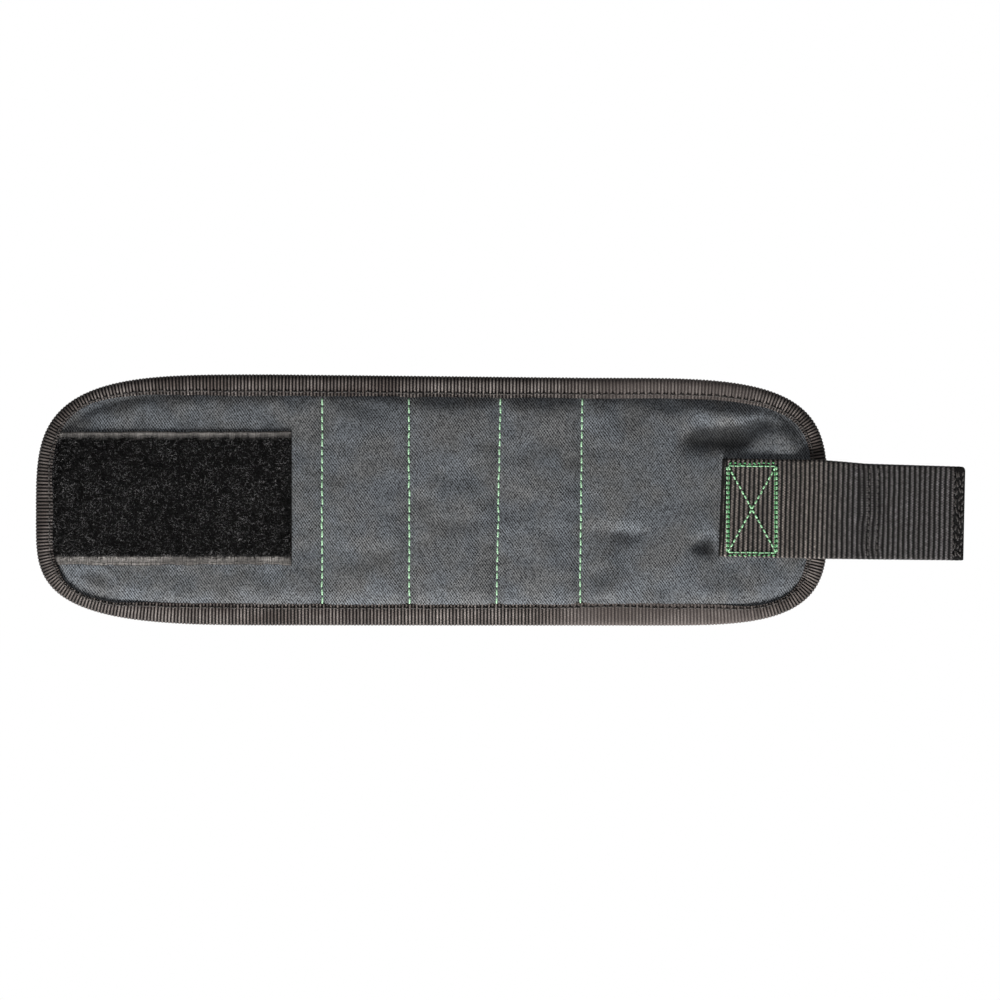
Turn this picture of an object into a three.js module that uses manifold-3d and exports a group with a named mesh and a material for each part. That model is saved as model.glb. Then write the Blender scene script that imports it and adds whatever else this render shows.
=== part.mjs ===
// Magnetic wristband: a quilted cloth band with magnets sewn into three cross
// channels, ribbed edge binding, a loop tape on one end and a webbing strap with
// hook tape on the other. Millimetres, +Z up, lying flat with its face up.
// X runs along the band, Y across it. The origin is the centre of the underside.
import * as THREE from 'three';
import Module from 'manifold-3d';

const wasm = await Module();
wasm.setup();

// ---------------------------------------------------------------- dimensions
const LEFT_TIP = [-175.5, -7.0];    // left tip of the pad
const RIGHT_TIP = [123.9, -4.5];    // right tip of the pad
// The four rounded corners: length along the band, squareness, and where the straight edge lies.
const FAR_LEFT = { round: 89.5, power: 3.79, edge: 47.5 };
const NEAR_LEFT = { round: 99.0, power: 3.62, edge: -47.4 };
const FAR_RIGHT = { round: 90.1, power: 3.95, edge: 46.2 };
const NEAR_RIGHT = { round: 69.8, power: 3.74, edge: -47.5 };

const SEAMS = [-67.2, -34.3, -0.6, 30.6];   // the four sewn cross seams
const FLEX_LEFT = [-135.5, -108.0];         // flex lines of the left panel
const FLEX_RIGHT = [56.0, 80.0];            // flex lines of the right panel
const CUT = 0.15;               // half of the gap at each hinge line

const TAPE = 0.6;               // binding tape thickness
const FLAP = 8.1;               // binding flap width on the face and underside
const FOLD = 0.7;               // binding thickness at the fold
const RIM_TOP = 3.0;            // height of the bound edge

const EDGE_IN = 1.0;            // cloth edge inside the fold
const RIM_IN = 8.6;             // end of the flattened rim
const PLATEAU_IN = 13.0;        // start of the flat padded area
const PINCH = 5.6;              // width of the slope beside a sewn seam

const LINING_RIM = [0.7, 1.5];  // lining heights in the rim
const FACE_RIM = [1.6, 2.3];    // face cloth heights in the rim
const LINING_PANEL = [0.0, 3.3];
const FACE_PANEL = [3.4, 4.2];
const LINING_POCKET = [0.0, 1.8];
const FACE_POCKET = [4.2, 5.0];
const LINING_SEAM_TOP = 1.4;    // pressed flat by the seam
const FACE_SEAM = [1.5, 2.3];

const CARRIER = { along: 19.0, across: 63.0, bottom: 1.9, top: 4.1 };
const MAGNET = { along: 14.0, across: 12.0, bottom: 2.0, top: 4.0, pitch: 15.6, count: 4 };
const MAGNET_GAP = 0.3;

const LOOP_RIGHT = -78.6;       // right edge of the loop tape
const LOOP_HALF = 25.2;         // half width of the 50 mm loop tape
const LOOP_Y = 0.66;            // its middle line
const LOOP_THICK = 2.0;
const LOOP_LIFT = 0.1;          // clearance over the face cloth

const STRAP_START = [83.4, -2.9];   // middle of the strap's sewn end
const STRAP_TURN = -1.24;           // degrees, the strap is sewn on slightly askew
const STRAP_LENGTH = 91.7;
const STRAP_HALF = 18.25;
const STRAP_Z = [4.3, 5.9];
const STRAP_HINGES = [41.6, 53.6, 80.0];    // along the strap, from its sewn end
const HOOK_THICK = 1.2;
const HOOK_HALF = 17.2;
const HOOK_RECESS = [1.0, 1.3, 1.3, 1.0];   // hook tape kept back from hinges and tip

// ---------------------------------------------------------------- outline
// The far (1) or near (-1) edge from the left tip to the right tip, densely sampled.
function edgePoints(side) {
  const left = side > 0 ? FAR_LEFT : NEAR_LEFT, right = side > 0 ? FAR_RIGHT : NEAR_RIGHT;
  const points = [];
  const N = 160;
  for (let i = 0; i <= N; i++) {
    const t = (i / N) * Math.PI / 2;
    points.push(new THREE.Vector2(
      LEFT_TIP[0] + left.round * (1 - Math.pow(Math.cos(t), 2 / left.power)),
      LEFT_TIP[1] + (left.edge - LEFT_TIP[1]) * Math.pow(Math.sin(t), 2 / left.power)));
  }
  for (let i = N; i >= 0; i--) {
    const t = (i / N) * Math.PI / 2;
    points.push(new THREE.Vector2(
      RIGHT_TIP[0] - right.round * (1 - Math.pow(Math.cos(t), 2 / right.power)),
      RIGHT_TIP[1] + (right.edge - RIGHT_TIP[1]) * Math.pow(Math.sin(t), 2 / right.power)));
  }
  return points;
}

// Even steps along a polyline.
function resample(points, count) {
  const run = [0];
  for (let i = 1; i < points.length; i++) run.push(run[i - 1] + points[i].distanceTo(points[i - 1]));
  const total = run[run.length - 1];
  const out = [];
  let k = 0;
  for (let i = 0; i < count; i++) {
    const want = total * i / (count - 1);
    while (k < run.length - 2 && run[k + 1] < want) k++;
    const span = run[k + 1] - run[k] || 1;
    out.push(points[k].clone().lerp(points[k + 1], (want - run[k]) / span));
  }
  return out;
}

const EDGES = { 1: resample(edgePoints(1), 900), [-1]: resample(edgePoints(-1), 900) };

// An edge moved towards the inside of the pad by a distance.
function inset(distance, side) {
  const edge = EDGES[side];
  if (distance === 0) return edge;
  const moved = edge.map((point, i) => {
    const a = edge[Math.max(0, i - 1)], b = edge[Math.min(edge.length - 1, i + 1)];
    const along = b.clone().sub(a).normalize();
    return new THREE.Vector2(point.x + side * along.y * distance, point.y - side * along.x * distance);
  });
  moved[0].set(LEFT_TIP[0] + distance, LEFT_TIP[1]);
  moved[moved.length - 1].set(RIGHT_TIP[0] - distance, RIGHT_TIP[1]);
  return moved;
}

const insets = new Map();
function insetCurve(distance, side) {
  const key = `${distance},${side}`;
  if (!insets.has(key)) insets.set(key, inset(distance, side));
  return insets.get(key);
}

// Where the far or near edge, moved in by a distance, crosses x.
function edgeAt(x, distance, side) {
  const curve = insetCurve(distance, side);
  for (let i = 1; i < curve.length; i++) {
    if (curve[i - 1].x <= x && curve[i].x >= x) {
      const span = curve[i].x - curve[i - 1].x || 1;
      return curve[i - 1].y + (curve[i].y - curve[i - 1].y) * (x - curve[i - 1].x) / span;
    }
  }
  return 0;
}

// One rounded end at a distance inside the rim: from the far side of the cut line
// at x, around the tip, to the near side.
function endArc(cut, end, distance, count) {
  const half = (side) => {
    const curve = insetCurve(distance, side).filter((p) => (end < 0 ? p.x < cut : p.x > cut));
    const corner = new THREE.Vector2(cut, edgeAt(cut, distance, side));
    return end < 0 ? [corner, ...curve.slice().reverse()] : [corner, ...curve];
  };
  return resample([...half(1), ...half(-1).reverse().slice(1)], count);
}

// ---------------------------------------------------------------- solids
function geometryOf(positions, triangles) {
  let volume = 0;
  const a = new THREE.Vector3(), b = new THREE.Vector3(), c = new THREE.Vector3();
  for (const [i, j, k] of triangles) {
    a.fromArray(positions[i]); b.fromArray(positions[j]); c.fromArray(positions[k]);
    volume += a.dot(b.cross(c));
  }
  const geometry = new THREE.BufferGeometry();
  geometry.setAttribute('position', new THREE.Float32BufferAttribute(positions.flat(), 3));
  geometry.setIndex(triangles.flatMap(([i, j, k]) => (volume < 0 ? [i, k, j] : [i, j, k])));
  geometry.computeVertexNormals();
  return geometry;
}

// A closed sheet over a flat triangulation, with its own top and bottom heights.
function sheet(points, triangles, bottom, top) {
  const n = points.length;
  const positions = [
    ...points.map((p, i) => [p.x, p.y, top[i]]),
    ...points.map((p, i) => [p.x, p.y, bottom[i]]),
  ];
  const faces = [];
  const edges = new Map();
  for (const t of triangles) {
    const [i, j, k] = t;
    const area = (points[j].x - points[i].x) * (points[k].y - points[i].y)
      - (points[k].x - points[i].x) * (points[j].y - points[i].y);
    const u = area < 0 ? [i, k, j] : [i, j, k];
    faces.push(u, [u[0] + n, u[2] + n, u[1] + n]);
    for (let e = 0; e < 3; e++) edges.set(`${u[e]},${u[(e + 1) % 3]}`, [u[e], u[(e + 1) % 3]]);
  }
  for (const [i, j] of edges.values()) {
    if (edges.has(`${j},${i}`)) continue;
    faces.push([j, i, i + n], [j, i + n, j + n]);
  }
  return geometryOf(positions, faces);
}

// A tape of one section carried along stations; each station has a point on the rim
// and the direction to the inside of the pad.
function tape(section, stations) {
  const m = section.length;
  const positions = [];
  for (const { point, inward } of stations) {
    for (const [depth, z] of section) positions.push([point.x + inward.x * depth, point.y + inward.y * depth, z]);
  }
  const faces = [];
  for (let s = 0; s + 1 < stations.length; s++) {
    for (let i = 0; i < m; i++) {
      const j = (i + 1) % m, a = s * m, b = (s + 1) * m;
      faces.push([a + i, b + i, b + j], [a + i, b + j, a + j]);
    }
  }
  const cap = THREE.ShapeUtils.triangulateShape(section.map(([d, z]) => new THREE.Vector2(d, z)), []);
  const last = (stations.length - 1) * m;
  // The section runs counter-clockwise, so its first cap follows the side walls when turned over.
  for (const [i, j, k] of cap) faces.push([i, k, j].reverse(), [last + i, last + k, last + j]);
  return geometryOf(positions, faces);
}

function extruded(profile, halfWidth) {
  // A side profile (x, z) carried across the band in Y.
  const shape = new THREE.Shape(profile.map(([x, z]) => new THREE.Vector2(x, z)));
  const geometry = new THREE.ExtrudeGeometry(shape, { depth: 2 * halfWidth, bevelEnabled: false });
  geometry.rotateX(Math.PI / 2);
  geometry.translate(0, halfWidth, 0);
  return geometry;
}

function toManifold(geometry) {
  const source = geometry.index ? geometry.toNonIndexed() : geometry;
  const position = source.getAttribute('position');
  const seen = new Map(), vertices = [], triangles = [];
  for (let i = 0; i < position.count; i++) {
    const key = [position.getX(i), position.getY(i), position.getZ(i)].map((v) => Math.round(v * 1e4)).join();
    if (!seen.has(key)) {
      seen.set(key, vertices.length / 3);
      vertices.push(position.getX(i), position.getY(i), position.getZ(i));
    }
    triangles.push(seen.get(key));
  }
  return new wasm.Manifold(new wasm.Mesh({
    numProp: 3, vertProperties: new Float32Array(vertices), triVerts: new Uint32Array(triangles),
  }));
}

function fromManifold(solid) {
  const mesh = solid.getMesh();
  const positions = [], triangles = [];
  for (let i = 0; i < mesh.vertProperties.length; i += mesh.numProp) {
    positions.push([mesh.vertProperties[i], mesh.vertProperties[i + 1], mesh.vertProperties[i + 2]]);
  }
  for (let i = 0; i < mesh.triVerts.length; i += 3) {
    triangles.push([mesh.triVerts[i], mesh.triVerts[i + 1], mesh.triVerts[i + 2]]);
  }
  return geometryOf(positions, triangles);
}

// ---------------------------------------------------------------- materials
const cloth = { color: 0x4a4f56, roughness: 0.92, metalness: 0 };
const mesh3d = { color: 0x24262a, roughness: 0.95, metalness: 0 };
const grosgrain = { color: 0x2b2724, roughness: 0.8, metalness: 0 };
const loopPile = { color: 0x1a1918, roughness: 1, metalness: 0 };
const webbing = { color: 0x2a2826, roughness: 0.8, metalness: 0 };
const hooks = { color: 0x1c1c1e, roughness: 0.55, metalness: 0 };
const foam = { color: 0x3a3a3c, roughness: 1, metalness: 0 };
const steel = { color: 0xb9bcc0, roughness: 0.25, metalness: 1 };

const band = new THREE.Group();

function add(parent, name, geometry, look) {
  const mesh = new THREE.Mesh(geometry, new THREE.MeshStandardMaterial(look));
  mesh.name = name;
  parent.add(mesh);
  return mesh;
}

// ---------------------------------------------------------------- band segments
// pinchLeft / pinchRight: that side is a sewn seam.
const SEGMENTS = [
  { name: 'left_end', from: LEFT_TIP[0], to: FLEX_LEFT[0], end: -1 },
  { name: 'left_mid', from: FLEX_LEFT[0], to: FLEX_LEFT[1] },
  { name: 'left_inner', from: FLEX_LEFT[1], to: SEAMS[0], pinchRight: true },
  { name: 'pocket_left', from: SEAMS[0], to: SEAMS[1], pinchLeft: true, pinchRight: true, pocket: true },
  { name: 'pocket_mid', from: SEAMS[1], to: SEAMS[2], pinchLeft: true, pinchRight: true, pocket: true },
  { name: 'pocket_right', from: SEAMS[2], to: SEAMS[3], pinchLeft: true, pinchRight: true, pocket: true },
  { name: 'right_inner', from: SEAMS[3], to: FLEX_RIGHT[0], pinchLeft: true },
  { name: 'right_mid', from: FLEX_RIGHT[0], to: FLEX_RIGHT[1] },
  { name: 'right_end', from: FLEX_RIGHT[1], to: RIGHT_TIP[0], end: 1 },
];

const BINDING_SECTION = [
  [0.35, 0], [FLAP, 0], [FLAP, TAPE], [FOLD, TAPE], [FOLD, RIM_TOP - TAPE],
  [FLAP, RIM_TOP - TAPE], [FLAP, RIM_TOP], [0.35, RIM_TOP], [0, RIM_TOP - 0.5], [0, 0.5],
];

// Points, triangles and the ring and column of every point of one segment.
function plan(segment) {
  const rings = [EDGE_IN, RIM_IN, PLATEAU_IN];
  const points = [], triangles = [], tags = [];
  if (segment.end) {
    const cut = segment.end < 0 ? segment.to - CUT : segment.from + CUT;
    const M = 25;
    rings.forEach((d, r) => endArc(cut, segment.end, d, M).forEach((p) => {
      points.push(p); tags.push({ ring: r, seam: false });
    }));
    for (let r = 0; r < 2; r++) {
      for (let i = 0; i + 1 < M; i++) {
        const a = r * M + i, b = (r + 1) * M + i;
        triangles.push([a, b, b + 1], [a, b + 1, a + 1]);
      }
    }
    const inner = points.slice(2 * M);
    THREE.ShapeUtils.triangulateShape(inner, []).forEach((t) => triangles.push(t.map((i) => i + 2 * M)));
    return { points, triangles, tags };
  }
  const a = segment.from + CUT, b = segment.to - CUT;
  const columns = [[a, !!segment.pinchLeft]];
  const from = segment.pinchLeft ? a + PINCH : a, to = segment.pinchRight ? b - PINCH : b;
  if (segment.pinchLeft) columns.push([from, false]);
  if (!segment.pocket) for (let i = 1; i < 4; i++) columns.push([from + (to - from) * i / 4, false]);
  if (segment.pinchRight) columns.push([to, false]);
  columns.push([b, !!segment.pinchRight]);
  const rows = [[0, 1], [1, 1], [2, 1], [2, -1], [1, -1], [0, -1]];
  columns.forEach(([x, seam]) => rows.forEach(([r, sign]) => {
    points.push(new THREE.Vector2(x, edgeAt(x, rings[r], sign)));
    tags.push({ ring: r, seam });
  }));
  const n = rows.length;
  for (let c = 0; c + 1 < columns.length; c++) {
    for (let r = 0; r + 1 < n; r++) {
      const p = c * n + r, q = (c + 1) * n + r;
      triangles.push([p, q, q + 1], [p, q + 1, p + 1]);
    }
  }
  return { points, triangles, tags };
}

function bindingStations(segment, sign) {
  if (!segment.end) {
    const a = segment.from + CUT, b = segment.to - CUT, steps = segment.pocket ? 1 : 4;
    const out = [];
    for (let i = 0; i <= steps; i++) {
      const x = a + (b - a) * i / steps;
      out.push({ point: new THREE.Vector2(x, edgeAt(x, 0, sign)), inward: new THREE.Vector2(0, -sign) });
    }
    return out;
  }
  const cut = segment.end < 0 ? segment.to - CUT : segment.from + CUT;
  const M = 31;
  const arc = endArc(cut, segment.end, 0, M);
  const middle = new THREE.Vector2(cut, 0);
  return arc.map((point, i) => {
    const p = arc[Math.max(0, i - 1)], q = arc[Math.min(M - 1, i + 1)];
    const along = q.clone().sub(p).normalize();
    const normal = new THREE.Vector2(-along.y, along.x);
    if (normal.dot(middle.clone().sub(point)) < 0) normal.negate();
    const across = new THREE.Vector2(0, point.y > 0 ? -1 : 1);
    const share = Math.min(1, Math.min(i, M - 1 - i) / 5);
    const smooth = share * share * (3 - 2 * share);
    return { point, inward: across.lerp(normal, smooth).normalize() };
  });
}

for (const segment of SEGMENTS) {
  const { points, triangles, tags } = plan(segment);
  const lining = segment.pocket ? LINING_POCKET : LINING_PANEL;
  const face = segment.pocket ? FACE_POCKET : FACE_PANEL;
  const at = (rim, seam, full) => tags.map((t) => (t.ring < 2 ? rim : t.seam ? seam : full));
  add(band, `lining_${segment.name}`, sheet(points, triangles,
    at(LINING_RIM[0], 0, lining[0]), at(LINING_RIM[1], LINING_SEAM_TOP, lining[1])), mesh3d);
  add(band, `face_${segment.name}`, sheet(points, triangles,
    at(FACE_RIM[0], FACE_SEAM[0], face[0]), at(FACE_RIM[1], FACE_SEAM[1], face[1])), cloth);
  if (segment.end) {
    add(band, `binding_${segment.name}`, tape(BINDING_SECTION, bindingStations(segment, 1)), grosgrain);
  } else {
    add(band, `binding_far_${segment.name}`, tape(BINDING_SECTION, bindingStations(segment, 1)), grosgrain);
    add(band, `binding_near_${segment.name}`, tape(BINDING_SECTION, bindingStations(segment, -1)), grosgrain);
  }
}

// ---------------------------------------------------------------- magnets in their carriers
for (const segment of SEGMENTS.filter((s) => s.pocket)) {
  const x = (segment.from + segment.to) / 2;
  const side = segment.name.replace('pocket_', '');
  const height = CARRIER.top - CARRIER.bottom;
  const strip = new THREE.BoxGeometry(CARRIER.along, CARRIER.across, height);
  strip.translate(x, 0, (CARRIER.top + CARRIER.bottom) / 2);
  let solid = toManifold(strip);
  for (let i = 0; i < MAGNET.count; i++) {
    const y = (i - (MAGNET.count - 1) / 2) * MAGNET.pitch;
    const window = new THREE.BoxGeometry(MAGNET.along + 2 * MAGNET_GAP, MAGNET.across + 2 * MAGNET_GAP, 2 * height);
    window.translate(x, y, (CARRIER.top + CARRIER.bottom) / 2);
    solid = solid.subtract(toManifold(window));
    const c = 0.4, hx = MAGNET.along / 2, hy = MAGNET.across / 2;
    const outline = new THREE.Shape([
      [-hx + c, -hy], [hx - c, -hy], [hx, -hy + c], [hx, hy - c],
      [hx - c, hy], [-hx + c, hy], [-hx, hy - c], [-hx, -hy + c],
    ].map(([u, v]) => new THREE.Vector2(u, v)));
    const magnet = new THREE.ExtrudeGeometry(outline, { depth: MAGNET.top - MAGNET.bottom, bevelEnabled: false });
    const mesh = add(band, `magnet_${side}_${i + 1}`, magnet, steel);
    mesh.position.set(x, y, MAGNET.bottom);
  }
  add(band, `magnet_carrier_${side}`, fromManifold(solid), foam);
}

// ---------------------------------------------------------------- loop tape
{
  // Left piece: its end follows the binding and slopes up onto the padded area.
  const cut = FLEX_LEFT[0] - CUT;
  const rows = 7, points = [], bottom = [], top = [], triangles = [];
  const low = FACE_RIM[1] + LOOP_LIFT + 0.15, high = FACE_PANEL[1] + LOOP_LIFT;
  const xAt = (y, distance) => {
    const side = y > LEFT_TIP[1] ? 1 : -1;
    const curve = insetCurve(distance, side);
    for (let i = 1; i < curve.length; i++) {
      if (side * (curve[i].y - y) >= 0) {
        const span = curve[i].y - curve[i - 1].y || 1;
        return curve[i - 1].x + (curve[i].x - curve[i - 1].x) * (y - curve[i - 1].y) / span;
      }
    }
    return LEFT_TIP[0];
  };
  for (let r = 0; r < rows; r++) {
    const y = LOOP_Y - LOOP_HALF + 2 * LOOP_HALF * r / (rows - 1);
    [[xAt(y, RIM_IN), low], [xAt(y, PLATEAU_IN - 1.4), high], [cut, high]].forEach(([x, z]) => {
      points.push(new THREE.Vector2(x, y)); bottom.push(z); top.push(z + LOOP_THICK);
    });
  }
  for (let r = 0; r + 1 < rows; r++) {
    for (let c = 0; c < 2; c++) {
      const p = r * 3 + c;
      triangles.push([p, p + 1, p + 4], [p, p + 4, p + 3]);
    }
  }
  add(band, 'loop_tape_end', sheet(points, triangles, bottom, top), loopPile);
  const flat = (from, to) => {
    const box = new THREE.BoxGeometry(to - from, 2 * LOOP_HALF, LOOP_THICK);
    box.translate((from + to) / 2, LOOP_Y, FACE_PANEL[1] + LOOP_LIFT + LOOP_THICK / 2);
    return box;
  };
  add(band, 'loop_tape_mid', flat(FLEX_LEFT[0] + CUT, FLEX_LEFT[1] - CUT), loopPile);
  add(band, 'loop_tape_inner', flat(FLEX_LEFT[1] + CUT, LOOP_RIGHT), loopPile);
}

// ---------------------------------------------------------------- closing strap
{
  const strap = new THREE.Group();
  strap.position.set(STRAP_START[0], STRAP_START[1], 0);
  strap.rotation.z = THREE.MathUtils.degToRad(STRAP_TURN);
  band.add(strap);
  const [z0, z1] = STRAP_Z, zm = (z0 + z1) / 2, h = (z1 - z0) / 2;
  const [a, b, c] = STRAP_HINGES;
  // Each link narrows to its hinge lines so that it can bend both ways.
  const link = (from, to, hingeFrom, hingeTo) => extruded([
    ...(hingeFrom ? [[from + CUT, zm], [from + CUT + h, z0]] : [[from, z1 - 0.3], [from, z0 + 0.3], [from + 0.3, z0]]),
    ...(hingeTo ? [[to - CUT - h, z0], [to - CUT, zm], [to - CUT - h, z1]] : [[to - 0.3, z0], [to, z0 + 0.3], [to, z1 - 0.3], [to - 0.3, z1]]),
    ...(hingeFrom ? [[from + CUT + h, z1]] : [[from + 0.3, z1]]),
  ], STRAP_HALF);
  add(strap, 'strap_anchor', link(0, a, false, true), webbing);
  add(strap, 'strap_root', link(a, b, true, true), webbing);
  add(strap, 'strap_mid', link(b, c, true, true), webbing);
  add(strap, 'strap_tip', link(c, STRAP_LENGTH, true, false), webbing);
  const hook = (from, to) => {
    const box = new THREE.BoxGeometry(to - from, 2 * HOOK_HALF, HOOK_THICK - 0.1);
    box.translate((from + to) / 2, 0, z0 - 0.1 - (HOOK_THICK - 0.1) / 2);
    return box;
  };
  add(strap, 'hook_tape_mid', hook(b + HOOK_RECESS[0], c - HOOK_RECESS[1]), hooks);
  add(strap, 'hook_tape_tip', hook(c + HOOK_RECESS[2], STRAP_LENGTH - HOOK_RECESS[3]), hooks);
}

export default band;
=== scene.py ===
# Quilted cloth wristband, lying flat, seen from straight above.
# Lengths in the code are millimetres; MM turns them into metres.
import math

import bpy
import numpy as np
from mathutils.kdtree import KDTree
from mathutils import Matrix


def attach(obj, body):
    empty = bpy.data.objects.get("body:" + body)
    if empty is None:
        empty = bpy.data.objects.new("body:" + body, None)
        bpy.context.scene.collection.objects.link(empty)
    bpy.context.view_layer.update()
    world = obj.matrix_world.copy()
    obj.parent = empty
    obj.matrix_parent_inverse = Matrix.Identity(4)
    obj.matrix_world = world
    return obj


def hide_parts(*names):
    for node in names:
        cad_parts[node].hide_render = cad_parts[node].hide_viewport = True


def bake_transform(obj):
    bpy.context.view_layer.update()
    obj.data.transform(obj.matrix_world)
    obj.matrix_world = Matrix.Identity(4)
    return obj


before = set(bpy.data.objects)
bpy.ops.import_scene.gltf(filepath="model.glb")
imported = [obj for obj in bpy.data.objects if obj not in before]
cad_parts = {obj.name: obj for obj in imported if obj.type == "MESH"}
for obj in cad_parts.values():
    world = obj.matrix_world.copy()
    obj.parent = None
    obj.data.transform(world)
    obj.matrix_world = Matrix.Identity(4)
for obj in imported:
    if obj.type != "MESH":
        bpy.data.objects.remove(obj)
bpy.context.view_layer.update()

MM = 0.001

# ---------------------------------------------------------------- dimensions
LEFT_TIP = (-175.5, -7.0)
RIGHT_TIP = (123.9, -4.5)
# length along the band, squareness and straight edge of the four rounded corners
FAR_LEFT = (89.5, 3.79, 47.5)
NEAR_LEFT = (99.0, 3.62, -47.4)
FAR_RIGHT = (90.1, 3.95, 46.2)
NEAR_RIGHT = (69.8, 3.74, -47.5)

SEAMS = [(-67.2, 0.0), (-34.3, 0.0), (-0.55, 0.0184), (30.65, 0.0099)]   # place, lean
SEAM_ENDS = (-39.4, 38.6)
HINGES = [-135.5, -108.0, -67.2, -34.3, -0.6, 30.6, 56.0, 80.0]
SPLITS = [-121.75, -87.6, -50.75, -17.45, 15.0, 43.3, 68.0]
SEGMENTS = ["left_end", "left_mid", "left_inner", "pocket_left", "pocket_mid",
            "pocket_right", "right_inner", "right_mid", "right_end"]

LOOP_RIGHT, LOOP_NEAR, LOOP_FAR = -78.6, -24.54, 25.86
STRAP_START = (83.4, -2.9)
STRAP_TURN = math.radians(-1.24)
STRAP_LENGTH = 91.7
STRAP_Z = (4.3, 5.9)
STRAP_SPLITS = (47.6, 66.8)
RIB = 1.3                       # rib pitch of the binding
STRAP_RIB = (1.74, 1.93)        # rib pitch of the strap, sewn down and free


# ---------------------------------------------------------------- small tools
def smooth(t):
    t = np.clip(t, 0.0, 1.0)
    return t * t * (3 - 2 * t)


def value_noise(x, y, size, seed):
    """Smooth noise from -1 to 1, with features of about that size."""
    table = np.random.default_rng(seed).random((64, 64)) * 2 - 1
    fx, fy = np.asarray(x) / size, np.asarray(y) / size
    ix, iy = np.floor(fx).astype(int), np.floor(fy).astype(int)
    tx, ty = smooth(fx - ix), smooth(fy - iy)
    at = lambda i, j: table[i & 63, j & 63]
    low = at(ix, iy) * (1 - tx) + at(ix + 1, iy) * tx
    high = at(ix, iy + 1) * (1 - tx) + at(ix + 1, iy + 1) * tx
    return low * (1 - ty) + high * ty


def run_noise(s, size, seed):
    return value_noise(s, np.zeros_like(s) + 0.37 * size, size, seed)


def unit(v):
    return v / np.maximum(np.linalg.norm(v, axis=-1, keepdims=True), 1e-12)


def build(name, vertices, faces, uv, material, sharp=None, marks=None):
    """A mesh object from arrays: vertices in mm, faces as arrays of equal length, one uv per vertex."""
    mesh = bpy.data.meshes.new(name)
    points = np.asarray(vertices, float) * MM
    mesh.vertices.add(len(points))
    mesh.vertices.foreach_set("co", points.astype(np.float32).ravel())
    faces = [np.asarray(f) for f in faces if len(f)]
    loops = np.concatenate([f.ravel() for f in faces]).astype(np.int32)
    sizes = np.concatenate([np.full(len(f), f.shape[1]) for f in faces])
    starts = np.concatenate([[0], np.cumsum(sizes)[:-1]]).astype(np.int32)
    mesh.loops.add(len(loops))
    mesh.loops.foreach_set("vertex_index", loops)
    mesh.polygons.add(len(sizes))
    mesh.polygons.foreach_set("loop_start", starts)
    mesh.update(calc_edges=True)
    layer = mesh.uv_layers.new(name="weave")
    layer.uv.foreach_set("vector", np.asarray(uv, np.float32)[loops].ravel())
    for key, values in (marks or {}).items():
        mark = mesh.attributes.new(key, "FLOAT", "POINT")
        mark.data.foreach_set("value", np.asarray(values, np.float32))
    mesh.polygons.foreach_set("use_smooth", np.ones(len(sizes), bool))
    if sharp:
        mesh.set_sharp_from_angle(angle=math.radians(sharp))
    mesh.validate()
    mesh.materials.append(material)
    made = bpy.data.objects.new(name, mesh)
    bpy.context.scene.collection.objects.link(made)
    return made


def shell(xy, top, bottom, mask):
    """A closed sheet over the grid cells whose four corners are in the mask. xy is (columns, rows, 2).
    Returns vertices, faces and, for each vertex, its grid column and row and 1 for the top."""
    nx, ny = mask.shape
    cell = mask[:-1, :-1] & mask[1:, :-1] & mask[1:, 1:] & mask[:-1, 1:]
    i, j = np.nonzero(cell)
    index = lambda a, b: a * ny + b
    quads = np.stack([index(i, j), index(i + 1, j), index(i + 1, j + 1), index(i, j + 1)], 1)
    edges = np.concatenate([quads[:, [k, (k + 1) % 4]] for k in range(4)])
    n = nx * ny
    forward, backward = edges[:, 0] * n + edges[:, 1], edges[:, 1] * n + edges[:, 0]
    rim = edges[~np.isin(forward, backward)]
    walls = np.stack([rim[:, 1], rim[:, 0], rim[:, 0] + n, rim[:, 1] + n], 1)
    faces = np.concatenate([quads, quads[:, ::-1] + n, walls])
    flat = xy.reshape(-1, 2)
    points = np.concatenate([np.column_stack([flat, top.ravel()]), np.column_stack([flat, bottom.ravel()])])
    used = np.unique(faces)
    renumber = np.full(2 * n, -1)
    renumber[used] = np.arange(len(used))
    return points[used], renumber[faces], used


def tubes(path, up, wide, high, sides, turn=0.0, twist=None):
    """Closed tubes. path is (tubes, rings, 3); up is a vector for each tube or ring; wide and high are half sizes."""
    n, k, _ = path.shape
    along = unit(np.gradient(path, axis=1))
    up = np.broadcast_to(up if np.ndim(up) == 3 else np.asarray(up, float).reshape(-1, 1, 3), path.shape)
    side = unit(np.cross(up, along))
    rise = np.cross(along, side)
    angle = 2 * np.pi * np.arange(sides) / sides + turn
    wide = np.broadcast_to(wide, (n, k))[:, :, None]
    high = np.broadcast_to(high, (n, k))[:, :, None]
    step = np.linalg.norm(np.diff(path, axis=1), axis=2)
    run = np.concatenate([np.zeros((n, 1)), np.cumsum(step, axis=1)], axis=1)
    swell = 1.0
    if twist:
        plies, lay, depth = twist
        swell = 1 + depth * np.cos(plies * angle[None, None, :] - 2 * np.pi * run[:, :, None] / lay * plies)
    offset = (wide * swell * np.cos(angle))[..., None] * side[:, :, None, :] \
        + (high * swell * np.sin(angle))[..., None] * rise[:, :, None, :]
    vertices = (path[:, :, None, :] + offset).reshape(-1, 3)
    at = np.arange(n * k * sides).reshape(n, k, sides)
    nxt = np.roll(at, -1, axis=2)
    quads = np.stack([at[:, :-1], nxt[:, :-1], nxt[:, 1:], at[:, 1:]], -1).reshape(-1, 4)
    uv = np.stack([np.broadcast_to(run[:, :, None] / 10, (n, k, sides)),
                   np.broadcast_to(np.arange(sides) / sides, (n, k, sides))], -1).reshape(-1, 2)
    return vertices, [quads, at[:, 0, ::-1], at[:, -1, :]], uv


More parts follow.
